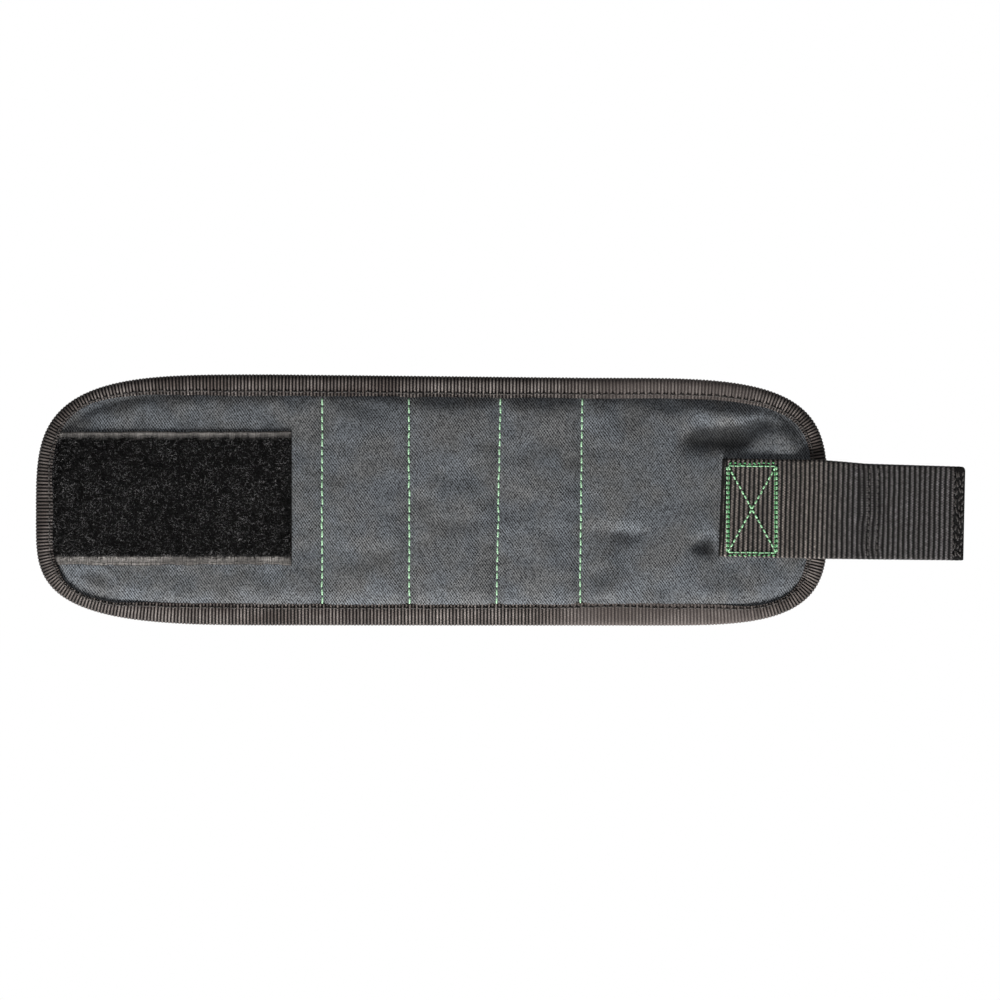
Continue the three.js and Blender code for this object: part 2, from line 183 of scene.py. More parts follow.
def joined(parts):
    """Several (vertices, faces, uv, one number for each vertex) as one."""
    vertices, uv, marks, by_size, base = [], [], [], {}, 0
    for v, faces, u, mark in parts:
        for f in faces:
            if len(f):
                by_size.setdefault(f.shape[1], []).append(f + base)
        vertices.append(v)
        uv.append(u)
        marks.append(mark)
        base += len(v)
    return np.concatenate(vertices), [np.concatenate(f) for f in by_size.values()], np.concatenate(uv), np.concatenate(marks)


def resample(points, step):
    points = np.asarray(points, float)
    run = np.concatenate([[0], np.cumsum(np.linalg.norm(np.diff(points, axis=0), axis=1))])
    count = max(2, int(round(run[-1] / step)) + 1)
    want = np.linspace(0, run[-1], count)
    return np.stack([np.interp(want, run, points[:, c]) for c in range(points.shape[1])], 1)


def stitches(points, up, pitch, cover, radius, seed, rings=9, sides=8, lift=0.55, sink=0.35, wander=0.05, flat=0.8,
             twist=(2, 1.15, 0.10)):
    """Dashes of thread along a line: (vertices, faces, uv, bow). up is one vector, or one for each point."""
    points = np.asarray(points, float)
    run = np.concatenate([[0], np.cumsum(np.linalg.norm(np.diff(points, axis=0), axis=1))])
    count = max(1, int(round(run[-1] / pitch)))
    pitch = run[-1] / count
    rng = np.random.default_rng(seed)
    starts = np.arange(count) * pitch + pitch * (1 - cover) / 2 + rng.normal(0, 0.03 * pitch, count)
    t = np.linspace(0, 1, rings)
    s = np.clip(starts[:, None] + t[None, :] * pitch * cover * rng.uniform(0.95, 1.05, count)[:, None], 0, run[-1])
    place = np.stack([np.interp(s, run, points[:, c]) for c in range(3)], -1)
    ups = np.broadcast_to(np.asarray(up, float), points.shape)
    above = unit(np.stack([np.interp(s, run, ups[:, c]) for c in range(3)], -1))
    along = unit(np.gradient(place, axis=1))
    side = unit(np.cross(above, along))
    bow = 1 - np.abs(2 * t - 1) ** 4
    height = (lift + sink) * radius * bow - sink * radius
    place = place + above * height[None, :, None]
    slant = rng.normal(0, wander, (count, 2))
    place = place + side * (slant[:, :1] * (1 - t) + slant[:, 1:] * t)[..., None]
    thick = radius * (0.72 + 0.28 * bow)
    v, faces, uv = tubes(place, above, thick[None, :], thick[None, :] * flat, sides, twist=twist)
    return v, faces, uv, np.tile(np.repeat(bow, sides), count)


# ---------------------------------------------------------------- outline of the pad
def edge_points(side):
    left, right = (FAR_LEFT, FAR_RIGHT) if side > 0 else (NEAR_LEFT, NEAR_RIGHT)
    t = np.linspace(0, np.pi / 2, 400)
    c = np.cos(t).clip(0)
    a = np.stack([LEFT_TIP[0] + left[0] * (1 - c ** (2 / left[1])),
                  LEFT_TIP[1] + (left[2] - LEFT_TIP[1]) * np.sin(t) ** (2 / left[1])], 1)
    b = np.stack([RIGHT_TIP[0] - right[0] * (1 - c ** (2 / right[1])),
                  RIGHT_TIP[1] + (right[2] - RIGHT_TIP[1]) * np.sin(t) ** (2 / right[1])], 1)[::-1]
    return resample(np.concatenate([a, b]), 0.2)


FAR, NEAR = edge_points(1), edge_points(-1)
LOOP = np.concatenate([FAR, NEAR[::-1][1:-1]])      # clockwise, from the left tip over the far edge
LOOP_RUN = np.concatenate([[0], np.cumsum(np.linalg.norm(np.diff(np.concatenate([LOOP, LOOP[:1]]), axis=0), axis=1))])
ROUND = LOOP_RUN[-1]
_ahead, _back = np.roll(LOOP, -6, axis=0), np.roll(LOOP, 6, axis=0)
_along = unit(_ahead - _back)
LOOP_IN = np.stack([_along[:, 1], -_along[:, 0]], 1)


def on_loop(s):
    """Point on the outline and inward direction, s in mm clockwise from the left tip."""
    s = np.mod(s, ROUND)
    close = lambda a: np.concatenate([a, a[:1]])
    point = np.stack([np.interp(s, LOOP_RUN, close(LOOP[:, c])) for c in range(2)], -1)
    inward = np.stack([np.interp(s, LOOP_RUN, close(LOOP_IN[:, c])) for c in range(2)], -1)
    return point, unit(inward)


FAR_RUN = LOOP_RUN[:len(FAR)]


def run_far(x):
    return np.interp(x, FAR[:, 0], FAR_RUN)


def run_near(x):
    length = np.concatenate([[0], np.cumsum(np.linalg.norm(np.diff(NEAR, axis=0), axis=1))])
    return ROUND - np.interp(x, NEAR[:, 0], length)


_tree = KDTree(len(LOOP))
for _i, _p in enumerate(LOOP):
    _tree.insert((_p[0], _p[1], 0.0), _i)
_tree.balance()


def inside(x, y):
    """Distance in from the outline, negative outside."""
    x, y = np.asarray(x, float), np.asarray(y, float)
    near = np.interp(x, NEAR[:, 0], NEAR[:, 1])
    far = np.interp(x, FAR[:, 0], FAR[:, 1])
    within = (y > near) & (y < far) & (x > LEFT_TIP[0]) & (x < RIGHT_TIP[0])
    out = np.full(x.shape, -1.0)
    flat = out.ravel()
    for k in np.nonzero(within.ravel())[0]:
        flat[k] = _tree.find((x.flat[k], y.flat[k], 0.0))[2]
    return flat.reshape(x.shape)


# ---------------------------------------------------------------- shape of the padding
def seam_distance(x, y):
    return np.min([np.abs(x - (xs + lean * y)) for xs, lean in SEAMS], axis=0)


def base_face(x, y, d):
    """Height of the top of the face cloth, without wrinkles."""
    pocket = smooth((x - SEAMS[0][0] + 4) / 8) * smooth((SEAMS[3][0] + 4 - x) / 8)
    full = 4.18 + 0.62 * pocket
    t = np.clip(seam_distance(x, y) / 6.5, 0, 1)
    pinch = 1 - (1 - t) ** 2.6
    rim = 1 - (1 - np.clip((d - 7.0) / 7.0, 0, 1)) ** 2.2
    return 2.4 + (full - 2.4) * rim * (0.30 + 0.70 * pinch)


def crease(x, y, a, b, width, depth):
    """A fold along a straight line, fading at its ends."""
    a, b = np.array(a, float), np.array(b, float)
    length = np.linalg.norm(b - a)
    ux, uy = (b - a) / length
    along = (x - a[0]) * ux + (y - a[1]) * uy
    across = -(x - a[0]) * uy + (y - a[1]) * ux
    fade = smooth((along + 0.35 * length) / (0.60 * length)) * smooth((1.35 * length - along) / (0.60 * length))
    return depth * fade * np.exp(-(across / width) ** 2)


def folds(x, y, d):
    """Height of the folds that the cloth starts with."""
    w = 0.44 * value_noise(x, y, 26, 11) + 0.27 * value_noise(x, y, 11, 12) + 0.09 * value_noise(x, y, 5, 13)
    bx = x + 2.4 * value_noise(x, y, 13, 15) + 0.8 * value_noise(x, y, 6, 16)        # the folds wander
    by = y + 1.5 * value_noise(x, y, 12, 17) + 0.6 * value_noise(x, y, 5.5, 18)
    for k, (xs, lean) in enumerate(SEAMS):
        off = x - (xs + lean * y)
        for side in (-1, 1):
            away = np.clip(off * side, 0, None)
            phase = y / (6.4 + 0.8 * k) + 0.55 * value_noise(y, away * 0.2 + 3 * side, 14, 20 + k)
            strength = 0.16 + 0.10 * value_noise(y, y * 0, 17, 30 + k + 7 * side)
            w = w + strength * np.cos(2 * np.pi * (phase + 0.31 * side)) * np.exp(-away / 5.5) * smooth(away / 2.2)
    # folds of the right panel, by the strap
    for line in (((69.0, 22.8), (92.0, 25.6), 4.6, -3.4), ((88.0, 24.8), (108.0, 31.0), 3.5, -2.4),
                 ((77.0, 31.6), (94.0, 32.4), 3.2, 1.00), ((80.0, 37.0), (97.0, 36.6), 2.4, -0.9),
                 ((105.0, 21.5), (116.0, 23.0), 3.6, 0.70), ((100.0, 36.0), (106.0, 34.0), 2.2, -0.8),
                 ((55.0, 29.5), (70.0, 31.0), 3.6, 0.65), ((59.0, 37.5), (66.0, 33.5), 2.6, -1.2),
                 ((44.0, -13.5), (54.0, -11.5), 2.8, -2.4), ((71.5, -17.0), (80.5, -15.5), 3.6, -2.7),
                 ((38.5, -9.5), (46.0, -19.0), 6.0, -1.1), ((36.0, -31.5), (46.5, -17.5), 3.2, -1.1),((41.0, -36.0), (54.0, -22.0), 3.2, 0.80),
                 ((70.0, -30.0), (95.0, -33.5), 4.5, 0.30),
                 ((108.0, 22.0), (115.0, 24.0), 3.0, 0.40)):
        w = w + crease(bx, by, *line)
    # folds of the left panel, by the loop tape
    for line in (((-164.0, -26.5), (-147.0, -30.5), 2.2, -0.55), ((-157.0, -32.0), (-138.0, -38.0), 2.4, -0.35),
                 ((-122.0, 30.0), (-115.0, 33.5), 2.6, -0.45), ((-86.0, 27.0), (-84.5, 35.5), 2.6, -0.45),
                 ((-110.0, -30.0), (-92.0, -32.5), 3.4, 0.35),
                 ((-62.0, 35.5), (-47.0, 33.2), 2.4, -0.7)):
        w = w + crease(bx, by, *line)
    return w * free(x, y, d)


def free(x, y, d):
    """0 where the binding, the loop tape or the strap holds the cloth down, 1 away from them."""
    loop = smooth((LOOP_RIGHT + 3.0 - x) / 3.0) * smooth((y - LOOP_NEAR + 3.0) / 3.0) * smooth((LOOP_FAR + 3.0 - y) / 3.0)
    u, v = strap_local(x, y)
    strap = smooth((u + 3.0) / 3.0) * smooth((21.5 - np.abs(v)) / 3.0)
    return smooth((d - 6.5) / 6.0) * (1 - loop) * (1 - strap)


def strap_local(x, y):
    c, s = math.cos(STRAP_TURN), math.sin(STRAP_TURN)
    dx, dy = x - STRAP_START[0], y - STRAP_START[1]
    return dx * c + dy * s, -dx * s + dy * c


def strap_world(u, v):
    c, s = math.cos(STRAP_TURN), math.sin(STRAP_TURN)
    return STRAP_START[0] + u * c - v * s, STRAP_START[1] + u * s + v * c


def settle(step=1.6, big=10.0, frames=24):
    """Cloth simulation of the face: sewn down at the seams, the rim, the loop tape and the strap, cut a little longer
    than the pad and pressed out by it. Worked at ten times the size. Returns a grid of the height that it adds."""
    xs, ys = np.arange(-172.5, 121.6, step), np.arange(-44.0, 44.01, step)
    X, Y = np.meshgrid(xs, ys, indexing="ij")
    D = inside(X, Y)
    flat = base_face(X, Y, D)
    u, v = strap_local(X, Y)
    held = (D < 7.6) | (seam_distance(X, Y) < step * 0.55) | ((u > -0.6) & (np.abs(v) < 19.0))
    held |= (X < LOOP_RIGHT + 0.6) & (Y > LOOP_NEAR - 0.6) & (Y < LOOP_FAR + 0.6)
    used = D >= 3.0
    number = np.full(X.shape, -1)
    number[used] = np.arange(used.sum())
    i, j = np.nonzero(used[:-1, :-1] & used[1:, :-1] & used[1:, 1:] & used[:-1, 1:])
    quads = np.stack([number[i, j], number[i + 1, j], number[i + 1, j + 1], number[i, j + 1]], 1)
    start = flat + folds(X, Y, D)
    points = np.stack([X[used], Y[used], start[used]], 1) * MM * big
    mesh = bpy.data.meshes.new("settling")
    mesh.from_pydata(points.tolist(), [], quads.tolist())
    sheet = bpy.data.objects.new("settling", mesh)
    scene = bpy.context.scene
    scene.collection.objects.link(sheet)
    sheet.vertex_groups.new(name="held").add([int(k) for k in number[used & held]], 1.0, "ADD")
    cloth = sheet.modifiers.new("cloth", "CLOTH")
    how = cloth.settings
    how.quality, how.mass, how.air_damping = 6, 0.01, 2.0
    how.tension_stiffness = how.compression_stiffness = 60.0
    how.shear_stiffness, how.bending_stiffness = 20.0, 20.0
    how.vertex_group_mass, how.pin_stiffness = "held", 50.0
    how.shrink_min = -0.006
    how.use_pressure, how.uniform_pressure_force = True, 0.5
    how.effector_weights.gravity = 0.0
    cloth.collision_settings.use_collision = False
    cloth.collision_settings.use_self_collision = False
    first, last = scene.frame_start, scene.frame_end
    scene.frame_start, scene.frame_end = 1, frames
    cloth.point_cache.frame_start, cloth.point_cache.frame_end = 1, frames
    for frame_number in range(1, frames + 1):
        scene.frame_set(frame_number)
    settled = sheet.evaluated_get(bpy.context.evaluated_depsgraph_get()).data
    place = np.empty(len(settled.vertices) * 3, np.float32)
    settled.vertices.foreach_get("co", place)
    rise = np.zeros(X.shape)
    rise[used] = place.reshape(-1, 3)[:, 2] / (MM * big) - flat[used]
    bpy.data.objects.remove(sheet)
    bpy.data.meshes.remove(mesh)
    scene.frame_set(1)
    scene.frame_start, scene.frame_end = first, last
    for axis in (0, 1):                                  # the finest ripples are of the grid, not of the cloth
        rise = 0.25 * np.roll(rise, 1, axis) + 0.5 * rise + 0.25 * np.roll(rise, -1, axis)
    return xs, ys, np.where(rise > 0, 1.15 * np.tanh(rise / 1.15), 2.4 * np.tanh(rise / 2.4))


def between(grid, x, y):
    """Smooth value between the points of a grid."""
    xs, ys, z = grid
    fx = np.clip((x - xs[0]) / (xs[1] - xs[0]), 1, len(xs) - 2.001)
    fy = np.clip((y - ys[0]) / (ys[1] - ys[0]), 1, len(ys) - 2.001)
    i, j = np.floor(fx).astype(int), np.floor(fy).astype(int)
    share = lambda t: (-t / 2 + t ** 2 - t ** 3 / 2, 1 - 2.5 * t ** 2 + 1.5 * t ** 3, t / 2 + 2 * t ** 2 - 1.5 * t ** 3,
                       (t ** 3 - t ** 2) / 2)
    a, b = share(fx - i), share(fy - j)
    return sum(a[m] * b[n] * z[i + m - 1, j + n - 1] for m in range(4) for n in range(4))


SETTLED = settle()
CARRIERS = [(-60.25, -41.25), (-26.95, -7.95), (5.5, 24.5)]        # ends along the band; 31.5 to each side, 4.1 high


def wrinkles(x, y, d):
    """Height that the cloth's folds add."""
    if SETTLED is None:
        return folds(x, y, d)
    w = between(SETTLED, x, y) * free(x, y, d)
    over = sum(smooth((x - a + 2.5) / 2) * smooth((b + 2.5 - x) / 2) for a, b in CARRIERS) * smooth((34.0 - np.abs(y)) / 2)
    return np.where(over > 0, w + over * np.clip(0.04 - w, 0, None), w)


def lining_bottom(x, y, d):
    t = np.clip(seam_distance(x, y) / 5.0, 0, 1)
    groove = (1 - t) ** 2.4 * 0.95
    rim = 1 - (1 - np.clip((d - 7.6) / 5.0, 0, 1)) ** 2.2
    return 0.64 * (1 - rim) + groove * rim


def columns(step, extra=()):
    """Column places from tip to tip, with one on every split line, and the column number of each split."""
    stops = sorted([LEFT_TIP[0] + 2.0, *SPLITS, *extra, RIGHT_TIP[0] - 2.0])
    out = [stops[0]]
    for a, b in zip(stops, stops[1:]):
        n = max(1, int(round((b - a) / step)))
        out += list(a + (b - a) * np.arange(1, n + 1) / n)
    out = np.array(out)
    return out, [int(np.argmin(np.abs(out - x))) for x in SPLITS]


# ---------------------------------------------------------------- materials
def lin(r, g, b):
    f = lambda c: c / 255 / 12.92 if c / 255 <= 0.04045 else ((c / 255 + 0.055) / 1.055) ** 2.4
    return (f(r), f(g), f(b), 1.0)


class Look:
    """A node material, built by small calls."""

    def __init__(self, name, **values):
        self.material = bpy.data.materials.new(name)
        self.material.use_nodes = True
        self.tree = self.material.node_tree
        self.tree.nodes.clear()
        self.out = self.tree.nodes.new("ShaderNodeOutputMaterial")
        self.bsdf = self.tree.nodes.new("ShaderNodeBsdfPrincipled")
        self.tree.links.new(self.bsdf.outputs[0], self.out.inputs[0])
        for key, value in values.items():
            self.bsdf.inputs[key.replace("_", " ")].default_value = value

    def put(self, value, socket):
        if isinstance(value, bpy.types.NodeSocket):
            self.tree.links.new(value, socket)
        else:
            socket.default_value = value

    def math(self, op, a, b=0.0, c=0.0, clamp=False):
        node = self.tree.nodes.new("ShaderNodeMath")
        node.operation, node.use_clamp = op, clamp
        for value, socket in zip((a, b, c), node.inputs):
            self.put(value, socket)
        return node.outputs[0]

    def add(self, a, b):
        return self.math("ADD", a, b)

    def mul(self, a, b):
        return self.math("MULTIPLY", a, b)

    def wave(self, cycles):
        """0 to 1 and back once for each whole number."""
        return self.math("MULTIPLY_ADD", self.math("SINE", self.mul(cycles, 2 * math.pi)), 0.5, 0.5)

    def mix(self, share, a, b, kind="MIX"):
        node = self.tree.nodes.new("ShaderNodeMix")
        node.data_type, node.blend_type = "RGBA", kind
        self.put(share, node.inputs[0])
        self.put(a, node.inputs[6])
        self.put(b, node.inputs[7])
        return node.outputs[2]

    def uv(self):
        node = self.tree.nodes.new("ShaderNodeUVMap")
        node.uv_map = "weave"
        split = self.tree.nodes.new("ShaderNodeSeparateXYZ")
        self.tree.links.new(node.outputs[0], split.inputs[0])
        return split.outputs[0], split.outputs[1]

    def vector(self, x, y, z=0.0):
        node = self.tree.nodes.new("ShaderNodeCombineXYZ")
        for value, socket in zip((x, y, z), node.inputs):
            self.put(value, socket)
        return node.outputs[0]

    def noise(self, vector, scale, detail=2.0, rough=0.5):
        node = self.tree.nodes.new("ShaderNodeTexNoise")
        self.put(vector, node.inputs["Vector"])
        node.inputs["Scale"].default_value = scale
        node.inputs["Detail"].default_value = detail
        node.inputs["Roughness"].default_value = rough
        return node.outputs[0]

    def grain(self, vector):
        node = self.tree.nodes.new("ShaderNodeTexWhiteNoise")
        node.noise_dimensions = "2D"
        self.put(vector, node.inputs["Vector"])
        return node.outputs[0]

    def spread(self, value, low, high, to_low=0.0, to_high=1.0):
        node = self.tree.nodes.new("ShaderNodeMapRange")
        for v, socket in zip((value, low, high, to_low, to_high), node.inputs):
            self.put(v, socket)
        return node.outputs[0]

    def mark(self, name):
        node = self.tree.nodes.new("ShaderNodeAttribute")
        node.attribute_name = name
        return node.outputs["Fac"]

    def bump(self, height, strength, distance, normal=None):
        node = self.tree.nodes.new("ShaderNodeBump")
        node.inputs["Strength"].default_value = strength
        node.inputs["Distance"].default_value = distance
        self.put(height, node.inputs["Height"])
        if normal is not None:
            self.put(normal, node.inputs["Normal"])
        return node.outputs[0]

    def finish(self, colour, roughness=None, normal=None):
        self.put(colour, self.bsdf.inputs["Base Color"])
        if roughness is not None:
            self.put(roughness, self.bsdf.inputs["Roughness"])
        if normal is not None:
            self.put(normal, self.bsdf.inputs["Normal"])
        return self.material


def face_cloth():
    m = Look("face_cloth", Sheen_Weight=0.06, Sheen_Roughness=0.45, Specular_IOR_Level=0.15)
    x, y = m.uv()                                   # centimetres on the cloth
    wobble = m.mul(m.math("SUBTRACT", m.noise(m.vector(x, y), 2.4, 2.0), 0.5), 1.1)
    warp = m.wave(m.add(m.mul(x, 10 / 0.44), wobble))
    weft = m.wave(m.add(m.mul(y, 10 / 0.44), wobble))
    twill = m.wave(m.add(m.add(m.mul(x, 10 / 1.06), m.mul(y, 10 / 1.45)), wobble))
    counter = m.wave(m.add(m.math("SUBTRACT", m.mul(x, 10 / 1.06), m.mul(y, 10 / 1.45)), wobble))
    yarn = m.noise(m.vector(m.mul(x, 22.0), m.mul(y, 4.0)), 1.0, 2.0, 0.6)
    cross = m.noise(m.vector(m.mul(x, 4.0), m.mul(y, 22.0)), 1.0, 2.0, 0.6)
    cell = m.grain(m.vector(m.math("FLOOR", m.mul(x, 10 / 0.44)), m.math("FLOOR", m.mul(y, 10 / 0.44))))
    strong = m.spread(m.noise(m.vector(m.add(x, 7.0), m.mul(y, 0.7)), 0.9, 2.0), 0.35, 0.65, 0.26, 0.52)
    weak = m.spread(m.noise(m.vector(m.mul(x, 0.8), m.add(y, 13.0)), 0.8, 2.0), 0.35, 0.65, 0.30, 0.06)
    steep = m.mul(m.math("SUBTRACT", twill, 0.5), strong)
    steep = m.add(steep, m.mul(m.math("SUBTRACT", counter, 0.5), weak))
    height = m.add(m.add(steep, 0.25), m.mul(m.mul(warp, weft), 0.20))
    height = m.add(height, m.mul(m.add(yarn, cross), 0.15))
    shade = m.add(height, m.mul(cell, 0.40))
    tone = m.noise(m.vector(x, y), 0.55, 3.0, 0.55)
    patch = m.noise(m.vector(m.add(x, 31.0), y), 0.24, 2.0, 0.5)
    dark = m.mix(m.spread(patch, 0.40, 0.60), lin(22, 23, 26), lin(23, 23, 24))
    light = m.mix(m.spread(tone, 0.40, 0.60), lin(124, 125, 126), lin(121, 126, 132))
    colour = m.mix(m.spread(shade, 0.34, 1.16), dark, light)
    colour = m.mix(m.spread(tone, 0.28, 0.52, 0.05, 0.0), colour, lin(40, 41, 44))
    # painted shade: the cloth is darkened down in its deepest folds
    colour = m.mix(m.spread(m.mark("fold_shade"), 0.05, 0.75, 0.0, 0.72), colour, lin(16, 17, 19))
    normal = m.bump(height, 0.5, 0.00018)
    return m.finish(colour, m.spread(height, 0.2, 0.8, 0.92, 0.74), normal)


def binding_tape():
    m = Look("edge_binding", Sheen_Weight=0.04, Sheen_Roughness=0.4, Specular_IOR_Level=0.14)
    u, v = m.uv()                                   # rib number, centimetres across the tape
    ridge, depth = m.mark("ridge"), m.mark("depth")
    each = m.grain(m.vector(m.math("FLOOR", u), 3.0))
    bead = m.wave(m.add(m.mul(v, 10 / 0.62), m.mul(m.math("FLOOR", u), 0.5)))
    patch = m.noise(m.vector(m.mul(u, 0.045), m.mul(v, 0.8)), 1.3, 3.0, 0.6)
    fine = m.noise(m.vector(m.mul(u, 1.0), m.mul(v, 9.0)), 2.6, 2.0, 0.6)
    # the colour follows each rib: painted shade near black down in the grooves, painted highlight on the crests
    crest = m.math("POWER", ridge, 4.4)
    weak_rib_shade = m.mark("weak_rib_shade")
    light = m.mix(m.spread(patch, 0.36, 0.64), lin(120, 109, 104), lin(184, 174, 169))
    light = m.mix(m.spread(each, 0.0, 1.0, 0.0, 0.60), light, lin(74, 67, 64))
    light = m.mix(m.mul(bead, 0.45), light, lin(52, 47, 45))
    # painted shade: the tape darker towards its outer edge, where it turns away round the fold
    light = m.mix(m.spread(depth, 0.10, 0.40, 0.55, 0.0), light, lin(40, 36, 34))
    # painted shade: a dark, ragged band along the flap's inner edge
    ragged_shade = m.noise(m.vector(m.mul(u, 0.31), m.mul(v, 6.0)), 1.7, 2.0, 0.6)
    light = m.mix(m.mul(m.spread(depth, 0.55, 0.95), m.spread(ragged_shade, 0.40, 0.60, 0.75, 0.1)), light, lin(44, 40, 39))
    # where the mark is high, the painted groove shade is lighter and the painted crest highlight dimmer, so the ribs
    # show less contrast
    groove = m.mix(weak_rib_shade, lin(9, 8, 8), lin(72, 66, 64))
    light = m.mix(m.mul(weak_rib_shade, 0.62), light, lin(102, 95, 92))
    ribs = round(ROUND / RIB)                       # the ribs are counted from the left tip
    turn = m.math("FRACT", m.math("MULTIPLY_ADD", u, 1.0 / ribs, 0.5))
    tip = m.spread(m.math("ABSOLUTE", m.math("SUBTRACT", turn, 0.5)), 18.0 / ribs, 46.0 / ribs, 0.30, 0.0)
    # painted shade: the tape darker around the left tip
    light = m.mix(tip, light, lin(26, 24, 23))
    # crests take the lighter colour as painted highlight, grooves the dark one as painted shade
    colour = m.mix(crest, groove, light)
    colour = m.mix(m.spread(fine, 0.50, 0.75, 0.0, 0.45), colour, lin(30, 27, 26))
    height = m.add(m.mul(bead, 0.5), m.mul(fine, 0.5))
    return m.finish(colour, m.spread(ridge, 0.0, 1.0, 0.95, 0.62), m.bump(height, 0.45, 0.00014))


def webbing():
    m = Look("strap_webbing", Sheen_Weight=0.03, Sheen_Roughness=0.4, Specular_IOR_Level=0.15)
    u, v = m.uv()                                   # rib number and centimetres across the strap
    ridge = m.mark("ridge")
    row = m.math("FLOOR", u)
    each = m.grain(m.vector(row, 5.0))
    bead = m.wave(m.add(m.mul(v, 10 / 0.98), m.mul(m.math("FLOOR", m.mul(u, 2.0)), 0.5)))
    split = m.spread(m.math("ABSOLUTE", m.math("SUBTRACT", m.math("FRACT", u), 0.5)), 0.02, 0.10, 0.55, 0.0)
    fine = m.noise(m.vector(m.mul(u, 6.0), m.mul(v, 14.0)), 1.0, 2.0, 0.6)
    patch = m.noise(m.vector(m.mul(u, 0.19), v), 0.9, 3.0, 0.6)
    tail = m.spread(u, 20.0, 28.0)
    fleck = m.noise(m.vector(m.mul(u, 1.7), m.mul(v, 7.0)), 1.0, 3.0, 0.65)
    # painted light: the ridges lighter and warmer on the part by the pad and cooler along the free tail, where the
    # light falls on them differently
    light = m.mix(tail, lin(206, 194, 186), lin(164, 160, 162))
    light = m.mix(m.spread(each, 0.0, 1.0, 0.0, 0.35), light, lin(92, 87, 84))
    light = m.mix(m.mul(bead, 0.82), light, lin(30, 28, 27))
    light = m.mix(split, light, lin(26, 24, 24))
    light = m.mix(m.spread(fleck, 0.38, 0.66, 0.75, 0.0), light, lin(40, 37, 36))
    light = m.mix(m.spread(patch, 0.42, 0.70, 0.0, 0.35), light, lin(74, 70, 68))
    # painted shade near black in the grooves between the ribs, painted highlight on the ridges
    low = m.mix(m.mul(m.spread(fine, 0.35, 0.7), 0.8), lin(6, 6, 6), lin(32, 31, 31))
    colour = m.mix(m.math("POWER", ridge, 5.0), low, light)
    height = m.add(m.mul(bead, 0.65), m.mul(fine, 0.35))
    return m.finish(colour, m.spread(ridge, 0.0, 1.0, 0.92, 0.58), m.bump(height, 0.5, 0.00022))


def pile():
    m = Look("loop_pile", Sheen_Weight=0.0, Specular_IOR_Level=0.06)
    u, v = m.uv()                                   # shade number of each loop, place along it
    shade = m.math("POWER", u, 2.2)
    colour = m.mix(shade, lin(3, 3, 3), lin(129, 128, 129))
    # painted shade: each loop darker down at its roots, in among the pile
    colour = m.mix(m.spread(v, 0.3, 0.9, 0.85, 0.0), colour, lin(5, 5, 5))
    return m.finish(colour, m.spread(u, 0.0, 1.0, 0.85, 0.6))


def loop_backing():
    m = Look("loop_backing", Sheen_Weight=0.03, Sheen_Roughness=0.5, Specular_IOR_Level=0.1)
    x, y = m.uv()
    under = m.mark("ridge")                         # 1 under the pile
    warp = m.wave(m.mul(y, 10 / 0.62))
    weft = m.wave(m.add(m.mul(x, 10 / 0.9), m.mul(m.noise(m.vector(x, y), 3.0), 1.2)))
    fine = m.noise(m.vector(m.mul(x, 7.0), m.mul(y, 22.0)), 1.0, 3.0, 0.65)
    broad = m.noise(m.vector(x, m.mul(y, 0.4)), 0.8, 3.0, 0.6)
    streak = m.noise(m.vector(m.mul(x, 24.0), m.mul(y, 2.6)), 1.0, 3.0, 0.65)
    edge = m.mix(m.spread(m.add(m.mul(fine, 0.35), m.mul(streak, 0.65)), 0.40, 0.61), lin(30, 29, 28), lin(150, 146, 143))
    edge = m.mix(m.mul(m.mul(weft, warp), 0.35), edge, lin(38, 35, 34))
    edge = m.mix(m.spread(broad, 0.40, 0.62, 0.60, 0.0), edge, lin(50, 48, 47))
    # painted highlight: the far selvedge lighter along its upper edge
    edge = m.mix(m.spread(y, 2.05, 2.45, 0.0, 0.24), edge, lin(192, 187, 182))
    # painted shade: the tape's edges and its right end darker
    edge = m.mix(m.mul(m.mark("cut"), m.spread(streak, 0.38, 0.62, 1.0, 0.7)), edge, lin(26, 25, 25))
    felt = m.noise(m.vector(m.mul(x, 14.0), m.mul(y, 14.0)), 1.0, 3.0, 0.7)
    black = m.mix(m.spread(felt, 0.4, 0.75), lin(4, 4, 4), lin(15, 15, 15))
    colour = m.mix(under, edge, black)
    return m.finish(colour, m.spread(fine, 0.2, 0.8, 0.95, 0.75), m.bump(m.add(fine, m.mul(warp, 0.4)), 0.5, 0.00018))


def thread(name, root, dark, light, gloss):
    m = Look(name, Sheen_Weight=0.12, Sheen_Roughness=0.35, Specular_IOR_Level=0.45)
    u, v = m.uv()                                   # centimetres along the stitch, share around it
    bow = m.mark("bow")                             # 0 where the thread goes into the cloth
    twist = m.wave(m.add(m.mul(u, 10 / 0.62), m.mul(v, 1.0)))
    fibre = m.noise(m.vector(m.mul(u, 30.0), m.mul(v, 9.0)), 1.0, 2.0, 0.6)
    share = m.add(m.mul(twist, 0.62), m.mul(fibre, 0.38))
    colour = m.mix(m.spread(share, 0.15, 0.80), dark, light)
    # painted shade: each stitch darker toward its ends, where the thread goes down into the cloth
    colour = m.mix(m.spread(bow, 0.15, 0.85, 0.95, 0.0), colour, root)
    return m.finish(colour, m.spread(share, 0.2, 0.9, gloss + 0.25, gloss), m.bump(share, 0.5, 0.0001))


